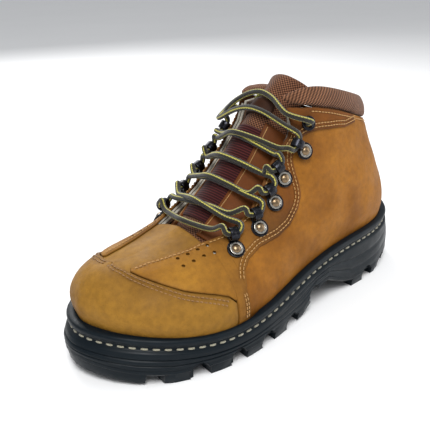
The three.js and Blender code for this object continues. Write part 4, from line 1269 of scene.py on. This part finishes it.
# ---------------------------------------------------------------- sole
@dataclass
class Sole:
    """Moulded sole: a cup wall with a stitched groove round the rim, and a lugged outsole.

    Attributes:
        stations: number of stations round the boot.
        bead_height, groove_depth: sizes of the rounded bead and of the groove under it.
        scallop, scallop_reach, scallop_rise: radius, depth and height over the tread of the side's hollows.
        lug_length, lug_pitch, lug_starts: edge lugs along x.
        dash, dash_gap, dash_radius, dash_drop: the welt's stitches and how far they lie under the bead.
        skirt: height over the tread at which the cup's wall ends.
        wall, bead: distances of the wall and the bead from the last.
        bumper, kick: how much further the wall stands out at the toe and at the heel.
    """

    stations: int = 640
    bead_height: float = 5.5
    groove_depth: float = 1.9
    scallop: float = 6.4
    scallop_reach: float = 4.5
    scallop_rise: float = 4.5
    lug_length: float = 19
    lug_pitch: float = 28
    lug_starts: tuple[float, ...] = (-109, -81, -53, -25, 3, 72, 100)
    dash: float = 4.6
    dash_gap: float = 2.4
    dash_radius: float = 0.72
    dash_drop: float = 1.55
    skirt: float = 9.0
    wall: float = 5.2
    bead: float = 4.7
    bumper: float = 6
    kick: float = 6.5
    TREAD = staticmethod(
        reading([
            [-145, 14], [-120, 8.5], [-100, 6], [8, 6], [17, 9], [28, 15.8], [44, 17.4], [60, 10], [72, 6],
            [135, 6], [152, 11],
        ])
    )

    def _round(self) -> tuple[np.ndarray, np.ndarray, np.ndarray]:
        """Stations round the boot: sole line, outward direction and distance from the toe along s."""
        s = np.linspace(0, LAST.AROUND, self.stations, endpoint=False)
        return LAST.body(s, 0), LAST.outward(s), np.minimum(s, LAST.AROUND - s)

    def _sizes(self, from_toe: np.ndarray) -> tuple[np.ndarray, np.ndarray, np.ndarray]:
        """Wall, bead and upper-face distances from the last."""
        bumper = self.bumper * (1 + np.cos(np.pi * np.minimum(from_toe / 3.6, 1))) / 2
        kick = self.kick * (1 + np.cos(np.pi * np.minimum((LAST.HEEL - from_toe) / 1.9, 1))) / 2
        face = reading([[5.0, 1.4], [5.3, -0.5]])(from_toe)
        return self.wall + bumper + kick, self.bead + 0.5 * bumper, face

    def _profile(self) -> np.ndarray:
        """Rings of the wall from the rim down, each a loop of points."""
        base, out, from_toe = self._round()
        wall, bead, face = self._sizes(from_toe)
        rim = base[:, 2]
        floor = self.TREAD(base[:, 0] + out[:, 0] * wall) + self.skirt
        one = np.ones_like(rim)
        b, groove = self.bead_height, bead - self.groove_depth
        # Two shallow grooves run along the wall and two wavy ones along the arch; all fade at their ends.
        upper = np.exp(-(((from_toe - 3.5) / 3.8) ** 4))
        arch = np.exp(-(((from_toe - 9.2) / 2.6) ** 4))
        rings = [(face - 2.5, rim - 3), (face + 0.2, rim - 0.15), (face + 0.9, rim + 0.0)]
        for angle in np.linspace(62, -78, 9):
            a = math.radians(angle)
            rings.append((bead - 2.0 + 2.0 * math.cos(a) * one, rim - 2.6 + 2.3 * math.sin(a)))
        rings += [
            (groove + 0.35, rim - b - 0.35),
            (groove, rim - b - 0.9),
            (groove, rim - b - 2.2),
            (groove + 0.5, rim - b - 2.75),
            (bead - 0.75, rim - b - 3.05),
            (bead - 0.1, rim - b - 3.6),
        ]
        low = rim - b - 4.2
        for share in np.linspace(0, 1, 26):
            z = low + (floor + 0.3 - low) * share
            out_by = bead + (wall - bead) * min(1.0, 0.15 + 1.4 * share) ** 0.8 - 0.35 * share**2
            for place, depth in ((0.36, 1.0), (0.72, 0.9)):
                out_by = out_by - depth * upper * math.exp(-(((share - place) / 0.045) ** 2))
            for place in (0.25, 0.62):
                sweep = place + 0.16 * np.sin((from_toe - 8.2) * 0.9)
                out_by = out_by - arch * np.exp(-(((share - sweep) / 0.06) ** 2))
            rings.append((out_by, z))
        rings += [(wall - 1.4, floor + 0.05), (wall - 6.0, floor + 0.05)]
        loops = []
        for distance, z in rings:
            point = base + out * np.asarray(distance * one)[:, None]
            point[:, 2] = z
            loops.append(point)
        return np.array(loops)

    def _wall(self) -> None:
        """The cup's wall, closed by an inner skin from its last ring to its first."""
        loops = self._profile()
        points = loops.transpose(1, 0, 2)
        rings = points.shape[1]
        faces = grid_faces(self.stations, rings, closed=True)
        for i in range(self.stations):
            a, b = i * rings, ((i + 1) % self.stations) * rings
            faces.append((a + rings - 1, b + rings - 1, b, a))
        made = new_object("sole_cup", metres(points.reshape(-1, 3)), faces)
        self._cut_scallops(made)
        finish_piece(made, Finishes.RUBBER, ["midsole_cup"])

    def _cut_scallops(self, obj: bpy.types.Object) -> None:
        """Cut a rounded hollow into the side over each gap between the edge lugs."""
        base, out, from_toe = self._round()
        edge = base + out * (self._sizes(from_toe)[0] - self.scallop_reach)[:, None]
        half, depth = self.stations // 2, 40.0
        bits = []
        for start in self.lug_starts:
            x = start + (self.lug_length + self.lug_pitch) / 2
            for half_edge, outer in ((edge[:half], -1), (edge[half:], 1)):
                y = half_edge[np.abs(half_edge[:, 0] - x).argmin()][1] + outer * depth / 2
                middle = metres(np.array([x, y, float(self.TREAD(x)) + self.scallop_rise]))
                bits.append(cylinder(self.scallop, depth, middle, 32, (math.pi / 2, 0, 0)))
        combine(obj, join(bits), "DIFFERENCE")
        bpy.ops.object.shade_smooth_by_angle(angle=math.radians(38))

    def _welt(self) -> None:
        """Thread that shows as dashes in the groove under the bead."""
        base, out, from_toe = self._round()
        path = base + out * (self._sizes(from_toe)[1] - self.groove_depth)[:, None]
        path[:, 2] = base[:, 2] - self.bead_height - self.dash_drop
        loop = np.vstack([path, path[:1]])
        run = run_along(loop)
        count = int(run[-1] / (self.dash + self.dash_gap))
        stops = (np.arange(count) + 0.5) * run[-1] / count
        after, before = (places_on(loop, (stops + step) % run[-1], run) for step in (1, -1))
        normals = places_on(np.vstack([out, out[:1]]), stops, run)
        middles = places_on(loop, stops, run)
        made = stitch_mesh("welt_dashes", middles, unit(after - before), normals, self.dash, self.dash_radius)
        finish_piece(made, Finishes.CREAM, ["welt_thread"])

    def build(self) -> None:
        """Build the wall, the outsole and the welt stitches."""
        self._wall()
        self._welt()
        outsole = smooth_copy("rubber_outsole", "sole_lugs")
        self._cut_scallops(outsole)
        soften(outsole, 0.8, 35)
        finish_piece(outsole, Finishes.RUBBER, ["rubber_outsole"])


# ---------------------------------------------------------------- collar, tongue and lining
def inflate(obj: bpy.types.Object, pressure: float, reach: float, frames: int = 20) -> None:
    """Puff a closed mesh as stuffed cloth, letting no point move further than reach.

    Args:
        obj: the closed mesh.
        pressure: pressure inside.
        reach: longest way that a point may move, in millimetres.
        frames: frames that the cloth runs for.
    """
    before = np.array([v.co for v in obj.data.vertices])
    cloth = obj.modifiers.new("cloth", "CLOTH")
    cloth.settings.use_pressure = True
    cloth.settings.uniform_pressure_force = pressure
    cloth.settings.effector_weights.gravity = 0
    cloth.settings.tension_stiffness = cloth.settings.compression_stiffness = 40
    cloth.settings.quality = 6
    cloth.point_cache.frame_start, cloth.point_cache.frame_end = 1, frames
    scene = bpy.context.scene
    for number in range(1, frames + 1):
        scene.frame_set(number)
    shape = obj.evaluated_get(bpy.context.evaluated_depsgraph_get()).data
    after = np.array([v.co for v in shape.vertices])
    obj.modifiers.remove(cloth)
    move = after - before
    size = np.linalg.norm(move, axis=1, keepdims=True)
    move *= np.minimum(1, reach * MM / np.maximum(size, 1e-9))
    obj.data.vertices.foreach_set("co", (before + move).ravel())
    obj.data.update()
    scene.frame_set(1)


def plump(obj: bpy.types.Object, pressure: float, reach: float) -> None:
    """Puff a closed mesh, as inflate does, and smooth it by one subdivision."""
    inflate(obj, pressure, reach)
    smooth = obj.modifiers.new("subdivision", "SUBSURF")
    smooth.levels = smooth.render_levels = 1
    apply_modifiers(obj)


def tube(name: str, line: np.ndarray, radius: float, finish: Finish) -> bpy.types.Object:
    """Round-ended strand along a line, dressed and riding on the boot.

    Args:
        name: object name.
        line: points in millimetres on the last's axes.
        radius: half its thickness.
        finish: its finish.

    Returns:
        The object.
    """
    sides = 12
    along = unit(np.gradient(line, axis=0))
    up = unit(np.cross(along, np.cross([0, 0, 1.0], along)))
    across = np.cross(along, up)
    turn = np.linspace(0, 2 * math.pi, sides, endpoint=False)[None, :, None]
    size = np.full(len(line), radius)
    size[[0, -1]] *= 0.4
    spokes = np.cos(turn) * up[:, None] + np.sin(turn) * across[:, None]
    rings = line[:, None] + size[:, None, None] * spokes
    faces = strand_faces(len(line), sides)
    return finish_piece(new_object(name, metres(rings.reshape(-1, 3)), faces), finish)


def slab(name: str, outside: np.ndarray, inside: np.ndarray) -> bpy.types.Object:
    """Closed slab between two grids of points, with a UV of millimetres along its outer face."""
    columns, rows = outside.shape[:2]
    points = np.concatenate([outside.reshape(-1, 3), inside.reshape(-1, 3)])
    obj = raw_object(name, metres(points), slab_faces(columns, rows))
    along, down = run_along(outside[:, rows // 2]), run_along(outside, 1)
    down = down - down[:, rows // 2 : rows // 2 + 1]
    flat = np.tile(np.stack([np.broadcast_to(along[:, None], down.shape), down], -1).reshape(-1, 2), (2, 1))
    numbers = np.empty(len(obj.data.loops), int)
    obj.data.loops.foreach_get("vertex_index", numbers)
    obj.data.uv_layers.new(name="UVMap").data.foreach_set("uv", flat[numbers].astype(np.float32).ravel())
    weld(obj, 0)
    return obj


@dataclass
class Collar:
    """Padded knit collar."""

    start: float = 8.98
    end: float = 12.985
    crown: float = 1.6
    medial_top: Line = ((8.9, 0.985), (9.6, 0.95), (10.6, 0.96), (12, 1), (13, 1))

    def _pad(self, side: Side) -> None:
        """One half of the collar: a crowned band, puffed as cloth."""
        base = reading(Lines.COLLAR_BASE)
        top = reading(((8.9, 1), (13, 1))) if side is Side.LATERAL else smooth_reading(self.medial_top)
        s = self.start + (self.end - self.start) * np.linspace(0, 1, 74)
        v = even_and_close(16)
        low, high = base(s)[:, None], top(s)[:, None]
        ss = np.broadcast_to(s[:, None], (len(s), len(v)))
        t = low + (high - low) * v
        crown = self.crown * np.sin(np.pi * v)[None]
        inner = reading([[8.98, 2.4], [10.2, 8], [13, 8]])(ss)
        ends = np.clip((ss - self.start) / 0.12, 0, 1) ** 0.5
        lower, upper = (np.sin(np.pi * np.clip(way / 0.28, 0, 0.5)) for way in (v, 1 - v))
        edge = (lower * upper)[None]
        ground, normal = LAST.at(side, ss, t)
        out = (crown - 0.9 * (1 - edge)) * ends
        back = -(inner + crown) * (0.35 + 0.65 * edge) * (0.3 + 0.7 * ends)
        faces = [ground + normal * offset[..., None] for offset in (out, back)]
        obj = slab(f"collar_{side.label}_pad", *faces)
        plump(obj, 3.0, 1.2)
        finish_piece(obj, Finishes.COLLAR, [f"collar_pad_{side.label}"])

    def build(self) -> None:
        """Build both halves."""
        for side in Side:
            self._pad(side)


@dataclass
class Tongue:
    """Padded tongue with its face patches, edge binding and lace keeper."""

    strip_seams: tuple[float, float] = (-0.49, 0.61)
    WIDE = 22  # rough half width and length of the face, in millimetres
    LONG = 140
    # Middle line of the face: x, z, half width, fall of the edges, thickness.
    ROWS = np.array([
        [-70, 63.5, 20, 5, 3.5], [-58, 69, 22, 7, 4.5], [-47, 77, 24, 10.5, 6], [-35, 88.5, 26, 16, 7],
        [-21, 102, 26, 20.5, 7], [-8, 117, 26, 25.5, 7], [3, 131, 25, 27, 8], [15, 145, 22, 27.5, 8],
        [28, 157, 18, 19, 8], [40, 166, 19, 9, 7],
    ])

    def _row(self, v: np.ndarray) -> np.ndarray:
        """Sizes at v along the tongue, smoothed between the rows."""
        at = np.clip(v, 0, 1) * (len(self.ROWS) - 1)
        i = np.clip(np.floor(at).astype(int), 0, len(self.ROWS) - 2)
        u = (at - i)[..., None]
        return spline([self.ROWS[np.clip(i + k, 0, len(self.ROWS) - 1)] for k in (-1, 0, 1, 2)], u)

    def face(self, u: np.ndarray, v: np.ndarray) -> tuple[np.ndarray, np.ndarray, np.ndarray]:
        """Points of the face, outward directions and thickness, at u across and v along."""
        u, v = np.broadcast_arrays(np.asarray(u, float), np.asarray(v, float))
        row = self._row(v)
        step = self._row(v + 0.004) - self._row(v - 0.004)
        size = np.hypot(step[..., 0], step[..., 1])
        out = np.stack([-step[..., 1] / size, 0 * size, step[..., 0] / size], -1)
        half, drop, thick = row[..., 2], row[..., 3], row[..., 4]
        point = np.stack([row[..., 0], 0 * half, row[..., 1]], -1) - out * (drop * u**2)[..., None]
        point[..., 1] = u * half
        lean = unit(np.stack([out[..., 0], 1.6 * u * drop / half, out[..., 2]], -1))
        return point, lean, thick * (1 - 0.55 * u**2)

    def patch(
        self,
        name: str,
        across: tuple[float, float],
        along: tuple[float, float],
        rise: tuple[float, float],
        grid: tuple[int, int] = (30, 24),
    ) -> bpy.types.Object:
        """Flat patch laid on the face, its cut edges rounded.

        Args:
            name: object name.
            across, along: its extent in u and v.
            rise: heights of its two faces over the tongue's.
            grid: number of points along and across.

        Returns:
            The patch.
        """
        u = across[0] + (across[1] - across[0]) * even_and_close(grid[1])
        v = along[0] + (along[1] - along[0]) * even_and_close(grid[0])
        uu, vv = np.meshgrid(u, v)
        point, lean, _ = self.face(uu, vv)
        sideways = np.minimum(uu - across[0], across[1] - uu) * self.WIDE
        lengthways = np.minimum(vv - along[0], along[1] - vv) * self.LONG
        top = rise[1] - edge_round(np.minimum(sideways, lengthways), 0.7)
        return slab(name, point + lean * top[..., None], point + lean * rise[0])

    def _body(self) -> None:
        """Padded body of the tongue."""
        u, v = even_and_close(27) * 2 - 1, np.linspace(0, 1, 70)
        uu, vv = np.meshgrid(u, v)
        point, lean, thick = self.face(uu, vv)
        side = np.sqrt(np.clip(1 - np.abs(uu) ** 6, 0, 1))
        end = np.sqrt(np.clip(1 - np.clip((vv - 0.955) / 0.045, 0, 1) ** 2, 0.04, 1))
        middle = point - lean * (thick / 2)[..., None]
        half = (thick / 2 * (0.25 + 0.75 * side) * (0.3 + 0.7 * end))[..., None]
        obj = slab("tongue_pad", middle + lean * half, middle - lean * half)
        plump(obj, 2.0, 0.5)
        finish_piece(obj, Finishes.TONGUE_MESH, ["tongue"])

    def _binding(self) -> None:
        """Bound strand over the keeper's upper edge, and the stitches of the strips."""
        u = np.linspace(-0.47, 0.47, 40)
        bow = 0.834 + 0.012 * (1 - (u / 0.47) ** 2)
        point, lean, _ = self.face(u, bow)
        tube("keeper_binding", point + lean * 1.6, 1.1, Finishes.LIME)
        found = []
        for across in self.strip_seams:
            point, lean, _ = self.face(across, np.linspace(0.22, 0.72, 70))
            found.append((point + lean * 2.0, unit(np.gradient(point, axis=0)), lean))
        rows = [np.concatenate(part) for part in zip(*found)]
        finish_piece(stitch_mesh("tongue_stitches", *rows, 1.3, 0.32), Finishes.LIGHT)

    def build(self) -> None:
        """Build the body and what is sewn on its face."""
        self._body()
        ribs = self.patch("tongue_rib_panel", (-0.62, 0.62), (0.27, 0.7), (0.1, 1.3), (60, 60))
        finish_piece(ribs, Finishes.TONGUE_RIB, ["tongue_face_panel"])
        for side, across in ((Side.LATERAL, (-0.99, -0.42)), (Side.MEDIAL, (0.55, 0.99))):
            strip = self.patch(f"tongue_{side.label}_strip", across, (0.2, 0.735), (0.2, 2.0), (60, 20))
            finish_piece(strip, Finishes.STRIP)
        self._binding()
        keeper = self.patch("keeper_strap", (-0.45, 0.45), (0.755, 0.83), (0.1, 2.2), (14, 24))
        finish_piece(keeper, Finishes.KEEPER, ["lace_keeper"])


# ---------------------------------------------------------------- lace loops, rivets and eyelets
@dataclass
class Hardware:
    """Stamped lace loops with rolled ends, domed rivets and punched eyelets."""

    EYELET = (8.93, 0.81)
    PLACES = (
        (5.16, 0.6, 5.31, 0.7), (6.09, 0.59, 6.19, 0.68), (6.87, 0.62, 6.92, 0.71), (7.47, 0.67, 7.5, 0.75),
        (8.35, 0.69, 8.27, 0.74),
    )
    ground: float = 1.7
    plate_radius: float = 5.75
    plate: float = 1.2
    barrel_radius: float = 4.3
    barrel_bore: float = 2.7
    barrel_length: float = 6.0
    barrel_reach: float = 8.75
    rivet_radius: float = 3.6
    rivet_top: float = 3.4

    def _frame(self, place: tuple[float, float, float, float], side: Side) -> Matrix:
        """Matrix from a loop's own axes to the frame's: z out of the leather, x towards the barrel."""
        (here, n), (there, n1) = LAST.at(side, *place[:2]), LAST.at(side, *place[2:])
        here = here + self.ground * n
        x = there + self.ground * n1 - here
        x = unit(x - n * (x @ n))
        return matrix_of((x, np.cross(n, x), n), here)

    def _ring(self, outer: float, inner: float, low: float, high: float, name: str) -> bpy.types.Object:
        """Flat ring round the z axis, a cylinder's wall thickened inwards."""
        ring = cylinder(outer, high - low, (0, 0, (low + high) / 2 * MM), ends="NOTHING")
        ring.name = name
        thick = ring.modifiers.new("solidify", "SOLIDIFY")
        thick.thickness, thick.offset, thick.use_even_offset = (outer - inner) * MM, -1, True
        return ring

    def _settle(self, obj: bpy.types.Object, bevel: float) -> None:
        """Bevel an object's sharp edges, apply all, and put its place into its mesh."""
        add_bevel(obj, bevel, 40, 3)
        apply_modifiers(obj)
        bpy.ops.object.transform_apply(location=True, rotation=True, scale=True)
        bpy.ops.object.shade_smooth_by_angle(angle=math.radians(35))

    def _loop_model(self) -> bpy.types.Object:
        """Stamped plate with its neck and rolled end."""
        plate = cylinder(self.plate_radius, self.plate, (0, 0, self.plate / 2 * MM))
        bpy.ops.object.mode_set(mode="EDIT")
        bpy.ops.mesh.select_mode(type="FACE")
        bpy.ops.mesh.select_all(action="DESELECT")
        bpy.ops.object.mode_set(mode="OBJECT")
        for face in plate.data.polygons:
            face.select = face.normal.z > 0.9
        bpy.ops.object.mode_set(mode="EDIT")
        bpy.ops.mesh.inset(thickness=0.9 * MM, depth=0)
        bpy.ops.mesh.inset(thickness=0.35 * MM, depth=-0.4 * MM)
        bpy.ops.object.mode_set(mode="OBJECT")
        middle = (self.barrel_reach / 2 * MM, 0, self.plate / 2 * MM)
        bpy.ops.mesh.primitive_cube_add(size=MM, location=middle)
        neck = bpy.context.object
        neck.scale = (self.barrel_reach, self.barrel_length, self.plate)
        select_only(neck)
        bpy.ops.object.transform_apply(location=True, rotation=True, scale=True)
        select_only(plate)
        bpy.ops.object.transform_apply(location=True, rotation=True, scale=True)
        combine(plate, neck, "UNION")
        self._settle(plate, 0.25)
        half = self.barrel_length / 2
        barrel = self._ring(self.barrel_radius, self.barrel_bore, -half, half, "barrel")
        barrel.rotation_euler = (math.pi / 2, 0, 0)
        barrel.location = (self.barrel_reach * MM, 0, self.barrel_radius * MM)
        self._settle(barrel, 0.6)
        return join([plate, barrel])

    def _rivet_model(self) -> bpy.types.Object:
        """Domed head."""
        bpy.ops.object.select_all(action="DESELECT")
        bpy.ops.mesh.primitive_uv_sphere_add(segments=32, ring_count=20, radius=self.rivet_radius * MM)
        dome = bpy.context.object
        bpy.ops.object.mode_set(mode="EDIT")
        bpy.ops.mesh.select_all(action="SELECT")
        bpy.ops.mesh.bisect(plane_co=(0, 0, 0), plane_no=(0, 0, 1), use_fill=True, clear_inner=True)
        bpy.ops.object.mode_set(mode="OBJECT")
        dome.scale = (0.9, 0.9, (self.rivet_top - self.plate) / self.rivet_radius)
        dome.location = (0, 0, self.plate * MM)
        self._settle(dome, 0.15)
        return dome

    def _place(self, model: bpy.types.Object, matrix: Matrix, name: str) -> bpy.types.Object:
        """Copy a model's mesh to a place."""
        mesh = model.data.copy()
        mesh.transform(matrix)
        mesh.name = name
        return link(name, mesh)

    def build(self) -> None:
        """Model each kind once and place its copies."""
        loop, rivet = self._loop_model(), self._rivet_model()
        low, high = self.plate - 0.2, self.plate + 0.75
        washer = self._ring(self.rivet_radius + 0.75, self.rivet_radius - 0.7, low, high, "washer")
        self._settle(washer, 0.3)
        eyelet = self._ring(5.0, 2.8, 0, 1.6, "eyelet")
        self._settle(eyelet, 0.6)
        for side in Side:
            for i, place in enumerate(self.PLACES, 1):
                matrix, ending = self._frame(place, side), f"{side.label}_{i}"
                for model, name, finish, slot, nodes in (
                    (loop, "loop", Finishes.NICKEL, Slot.NICKEL, [f"lace_loop_{ending}"]),
                    (rivet, "rivet", Finishes.RIVET, Slot.RIVET, [f"loop_rivet_{ending}"]),
                    (washer, "washer", Finishes.WASHER, Slot.RIVET, []),
                ):
                    finish_piece(self._place(model, matrix, f"{name}_{ending}"), finish, nodes)
            s, t = self.EYELET
            made = self._place(eyelet, self._frame((s, t, s, t + 0.02), side), f"eyelet_{side.label}")
            finish_piece(made, Finishes.NICKEL, [f"top_eyelet_{side.label}"])
        for model in (loop, rivet, washer, eyelet):
            bpy.data.objects.remove(model)


# ---------------------------------------------------------------- lace
@dataclass
class Lace:
    """Round braided lace through the eyelets and loops, held by the boot along its whole way."""

    diameter: float = 3.8
    sides: int = 16
    cad_sides: int = 8
    between: int = 9
    start: tuple[float, float, float] = (56, 20, 98)

    def _stations(self) -> np.ndarray:
        """Centre of each ring of the CAD lace, from its medial end on, in metres."""
        bm = bmesh.new()
        bm.from_mesh(cad("lace").data)
        bmesh.ops.remove_doubles(bm, verts=bm.verts, dist=MERGE)
        end = Vector(metres(np.array(self.start)))
        ring = sorted(bm.verts, key=lambda v: (v.co - end).length)[: self.cad_sides]
        seen, rings = set(ring), []
        while ring:
            rings.append(sum((v.co for v in ring), Vector()) / len(ring))
            reached = {e.other_vert(v) for v in ring for e in v.link_edges} - seen
            seen |= reached
            ring = list(reached)
        bm.free()
        return np.array(rings)

    def _path(self) -> np.ndarray:
        """Smooth centreline through the stations."""
        p = self._stations()
        p = np.vstack([2 * p[0] - p[1], p, 2 * p[-1] - p[-2]])
        u = np.linspace(0, 1, self.between, endpoint=False)[None, :, None]
        curve = spline([p[k : len(p) - 3 + k, None] for k in range(4)], u)
        path = np.vstack([curve.reshape(-1, 3), p[-2:-1]])
        for _ in range(3):
            path[1:-1] += 0.25 * (path[:-2] + path[2:] - 2 * path[1:-1])
        return path

    def build(self) -> None:
        path = self._path()
        along = unit(np.gradient(path, axis=0))
        side = np.cross(along[0], [0, 1, 0])
        frames = []
        for a in along:
            side = unit(side - a * (side @ a))
            frames.append((side, np.cross(a, side)))
        m = self.sides
        turn = np.linspace(0, 2 * math.pi, m + 1)[:-1]
        radius = self.diameter / 2 * MM
        points = [
            p + radius * (math.cos(t) * x + math.sin(t) * y) for p, (x, y) in zip(path, frames) for t in turn
        ]
        obj = raw_object("lace_cord", np.array(points), strand_faces(len(path), m))
        run = run_along(path)
        flat = []
        for here, there in zip(run[:-1], run[1:]):
            for k in range(m):
                a, b = k / m, (k + 1) / m
                flat += [(here, a), (here, b), (there, b), (there, a)]
        flat += [(0, 0)] * m + [(run[-1], 0)] * m
        obj.data.uv_layers.new(name="UVMap").data.foreach_set("uv", np.array(flat, np.float32).ravel())
        finish_piece(obj, Finishes.BRAID, ["lace"])
        log.info("lace: %.3f m", run[-1])


# ---------------------------------------------------------------- inner pieces
def cad(node: str) -> bpy.types.Object:
    """Object of a CAD node."""
    return FRAME["nodes"][node]


class Insides:
    """Lining, padding, board and steel inside the boot."""

    SOFT = {
        (Finishes.LINING, Slot.LINING): ("forefoot_lining", "shaft_lining"),
        (Finishes.FOAM, Slot.FOAM): (
            "vamp_interlining", "toe_cap_strip", "heel_foam", "ankle_foam_lateral", "ankle_foam_medial",
            "eyestay_backing_lateral", "eyestay_backing_medial",
        ),
        (Finishes.BOARD, Slot.BOARD): ("strobel_insole",),
        (Finishes.FOOTBED, Slot.FOAM): ("footbed",),
    }
    HARD = {
        Finishes.STEEL: ("steel_shank", "steel_toe_cap", "puncture_plate"),
        Finishes.BOARD: ("heel_counter",),
        Finishes.TIP: ("lace_tip_medial", "lace_tip_lateral"),
    }

    def build(self) -> None:
        """Stand rounded copies in for the soft nodes and dress the hard ones."""
        for (finish, slot), nodes in self.SOFT.items():
            for node in nodes:
                copy = smooth_copy(node, f"{node}_layer", 0.3)
                finish_piece(copy, finish, [node], "footbed" if node == "footbed" else BODY)
        for finish, nodes in self.HARD.items():
            for place in (place for node in nodes for place in cad(node).material_slots):
                place.material = finish.material()


# ---------------------------------------------------------------- stage
@dataclass
class Stage:
    """Pale floor, soft studio light and the camera."""

    camera: tuple[float, float, float] = (-302.0, -322.4, 242.9)
    back: tuple[float, float, float] = (-0.61, -0.706, 0.36)
    roll: float = -1.022
    lens: float = 56.8
    floor: tuple[int, int, int] = (250, 250, 250)
    # Each light: name, place and size in metres, power.
    LIGHTS = (
        ("key", (-0.55, -0.6, 1.1), 0.6, 15),
        ("fill", (0.9, -0.7, 0.5), 0.9, 5),
        ("rim", (0.3, 1.0, 0.8), 0.8, 10),
    )

    def _floor(self) -> None:
        """Floor just under the lugs."""
        bpy.ops.object.select_all(action="DESELECT")
        bpy.ops.mesh.primitive_plane_add(size=90, location=(0, 0, -0.0002))
        floor = bpy.context.object
        floor.name = "studio_floor"
        g = Graph("studio_paper")
        shade = g.mix(g.spread(g.noise(3, 3), 0.35, 0.7, (0, 0.06)), rgb(*self.floor), rgb(210, 210, 210))
        floor.data.materials.append(g.dress(shade, 0.85))

    def _light(self, name: str, place: tuple[float, float, float], size: float, power: float) -> None:
        """Soft square light aimed at the boot."""
        data = bpy.data.lights.new(name, "AREA")
        data.energy, data.size = power, size
        obj = link(name, data)
        obj.location = place
        obj.rotation_euler = (Vector((0, 0, 0.07)) - Vector(place)).to_track_quat("-Z", "Y").to_euler()

    def _camera(self) -> None:
        """Camera at the viewing angle."""
        back = Vector(self.back).normalized()
        level = Vector((0, 0, 1)).cross(back).normalized()
        up = back.cross(level)
        a = math.radians(self.roll)
        right = math.cos(a) * level + math.sin(a) * up
        over = math.cos(a) * up - math.sin(a) * level
        data = bpy.data.cameras.new("camera")
        data.lens, data.sensor_width = self.lens, 36
        obj = link("camera", data)
        obj.matrix_world = matrix_of((right, over, back), np.array(self.camera))
        bpy.context.scene.camera = obj

    def build(self) -> None:
        """Set the stage."""
        self._camera()
        self._floor()
        for light in self.LIGHTS:
            self._light(*light)
        world = bpy.data.worlds.new("studio")
        world.use_nodes = True
        sky = world.node_tree.nodes["Background"]
        sky.inputs[0].default_value = (0.95, 0.97, 1, 1)
        sky.inputs[1].default_value = 0.5
        bpy.context.scene.world = world
        bpy.context.scene.view_settings.view_transform = "Standard"


def main() -> None:
    """Build every sub-assembly and note the sizes."""
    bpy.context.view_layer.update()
    for part in (Stage(), Lace(), Tongue(), Collar(), Upper(), Sole(), Hardware(), Insides()):
        part.build()
        log.info("built %s", type(part).__name__)
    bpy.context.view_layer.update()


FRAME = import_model()

if __name__ == "__main__":
    main()
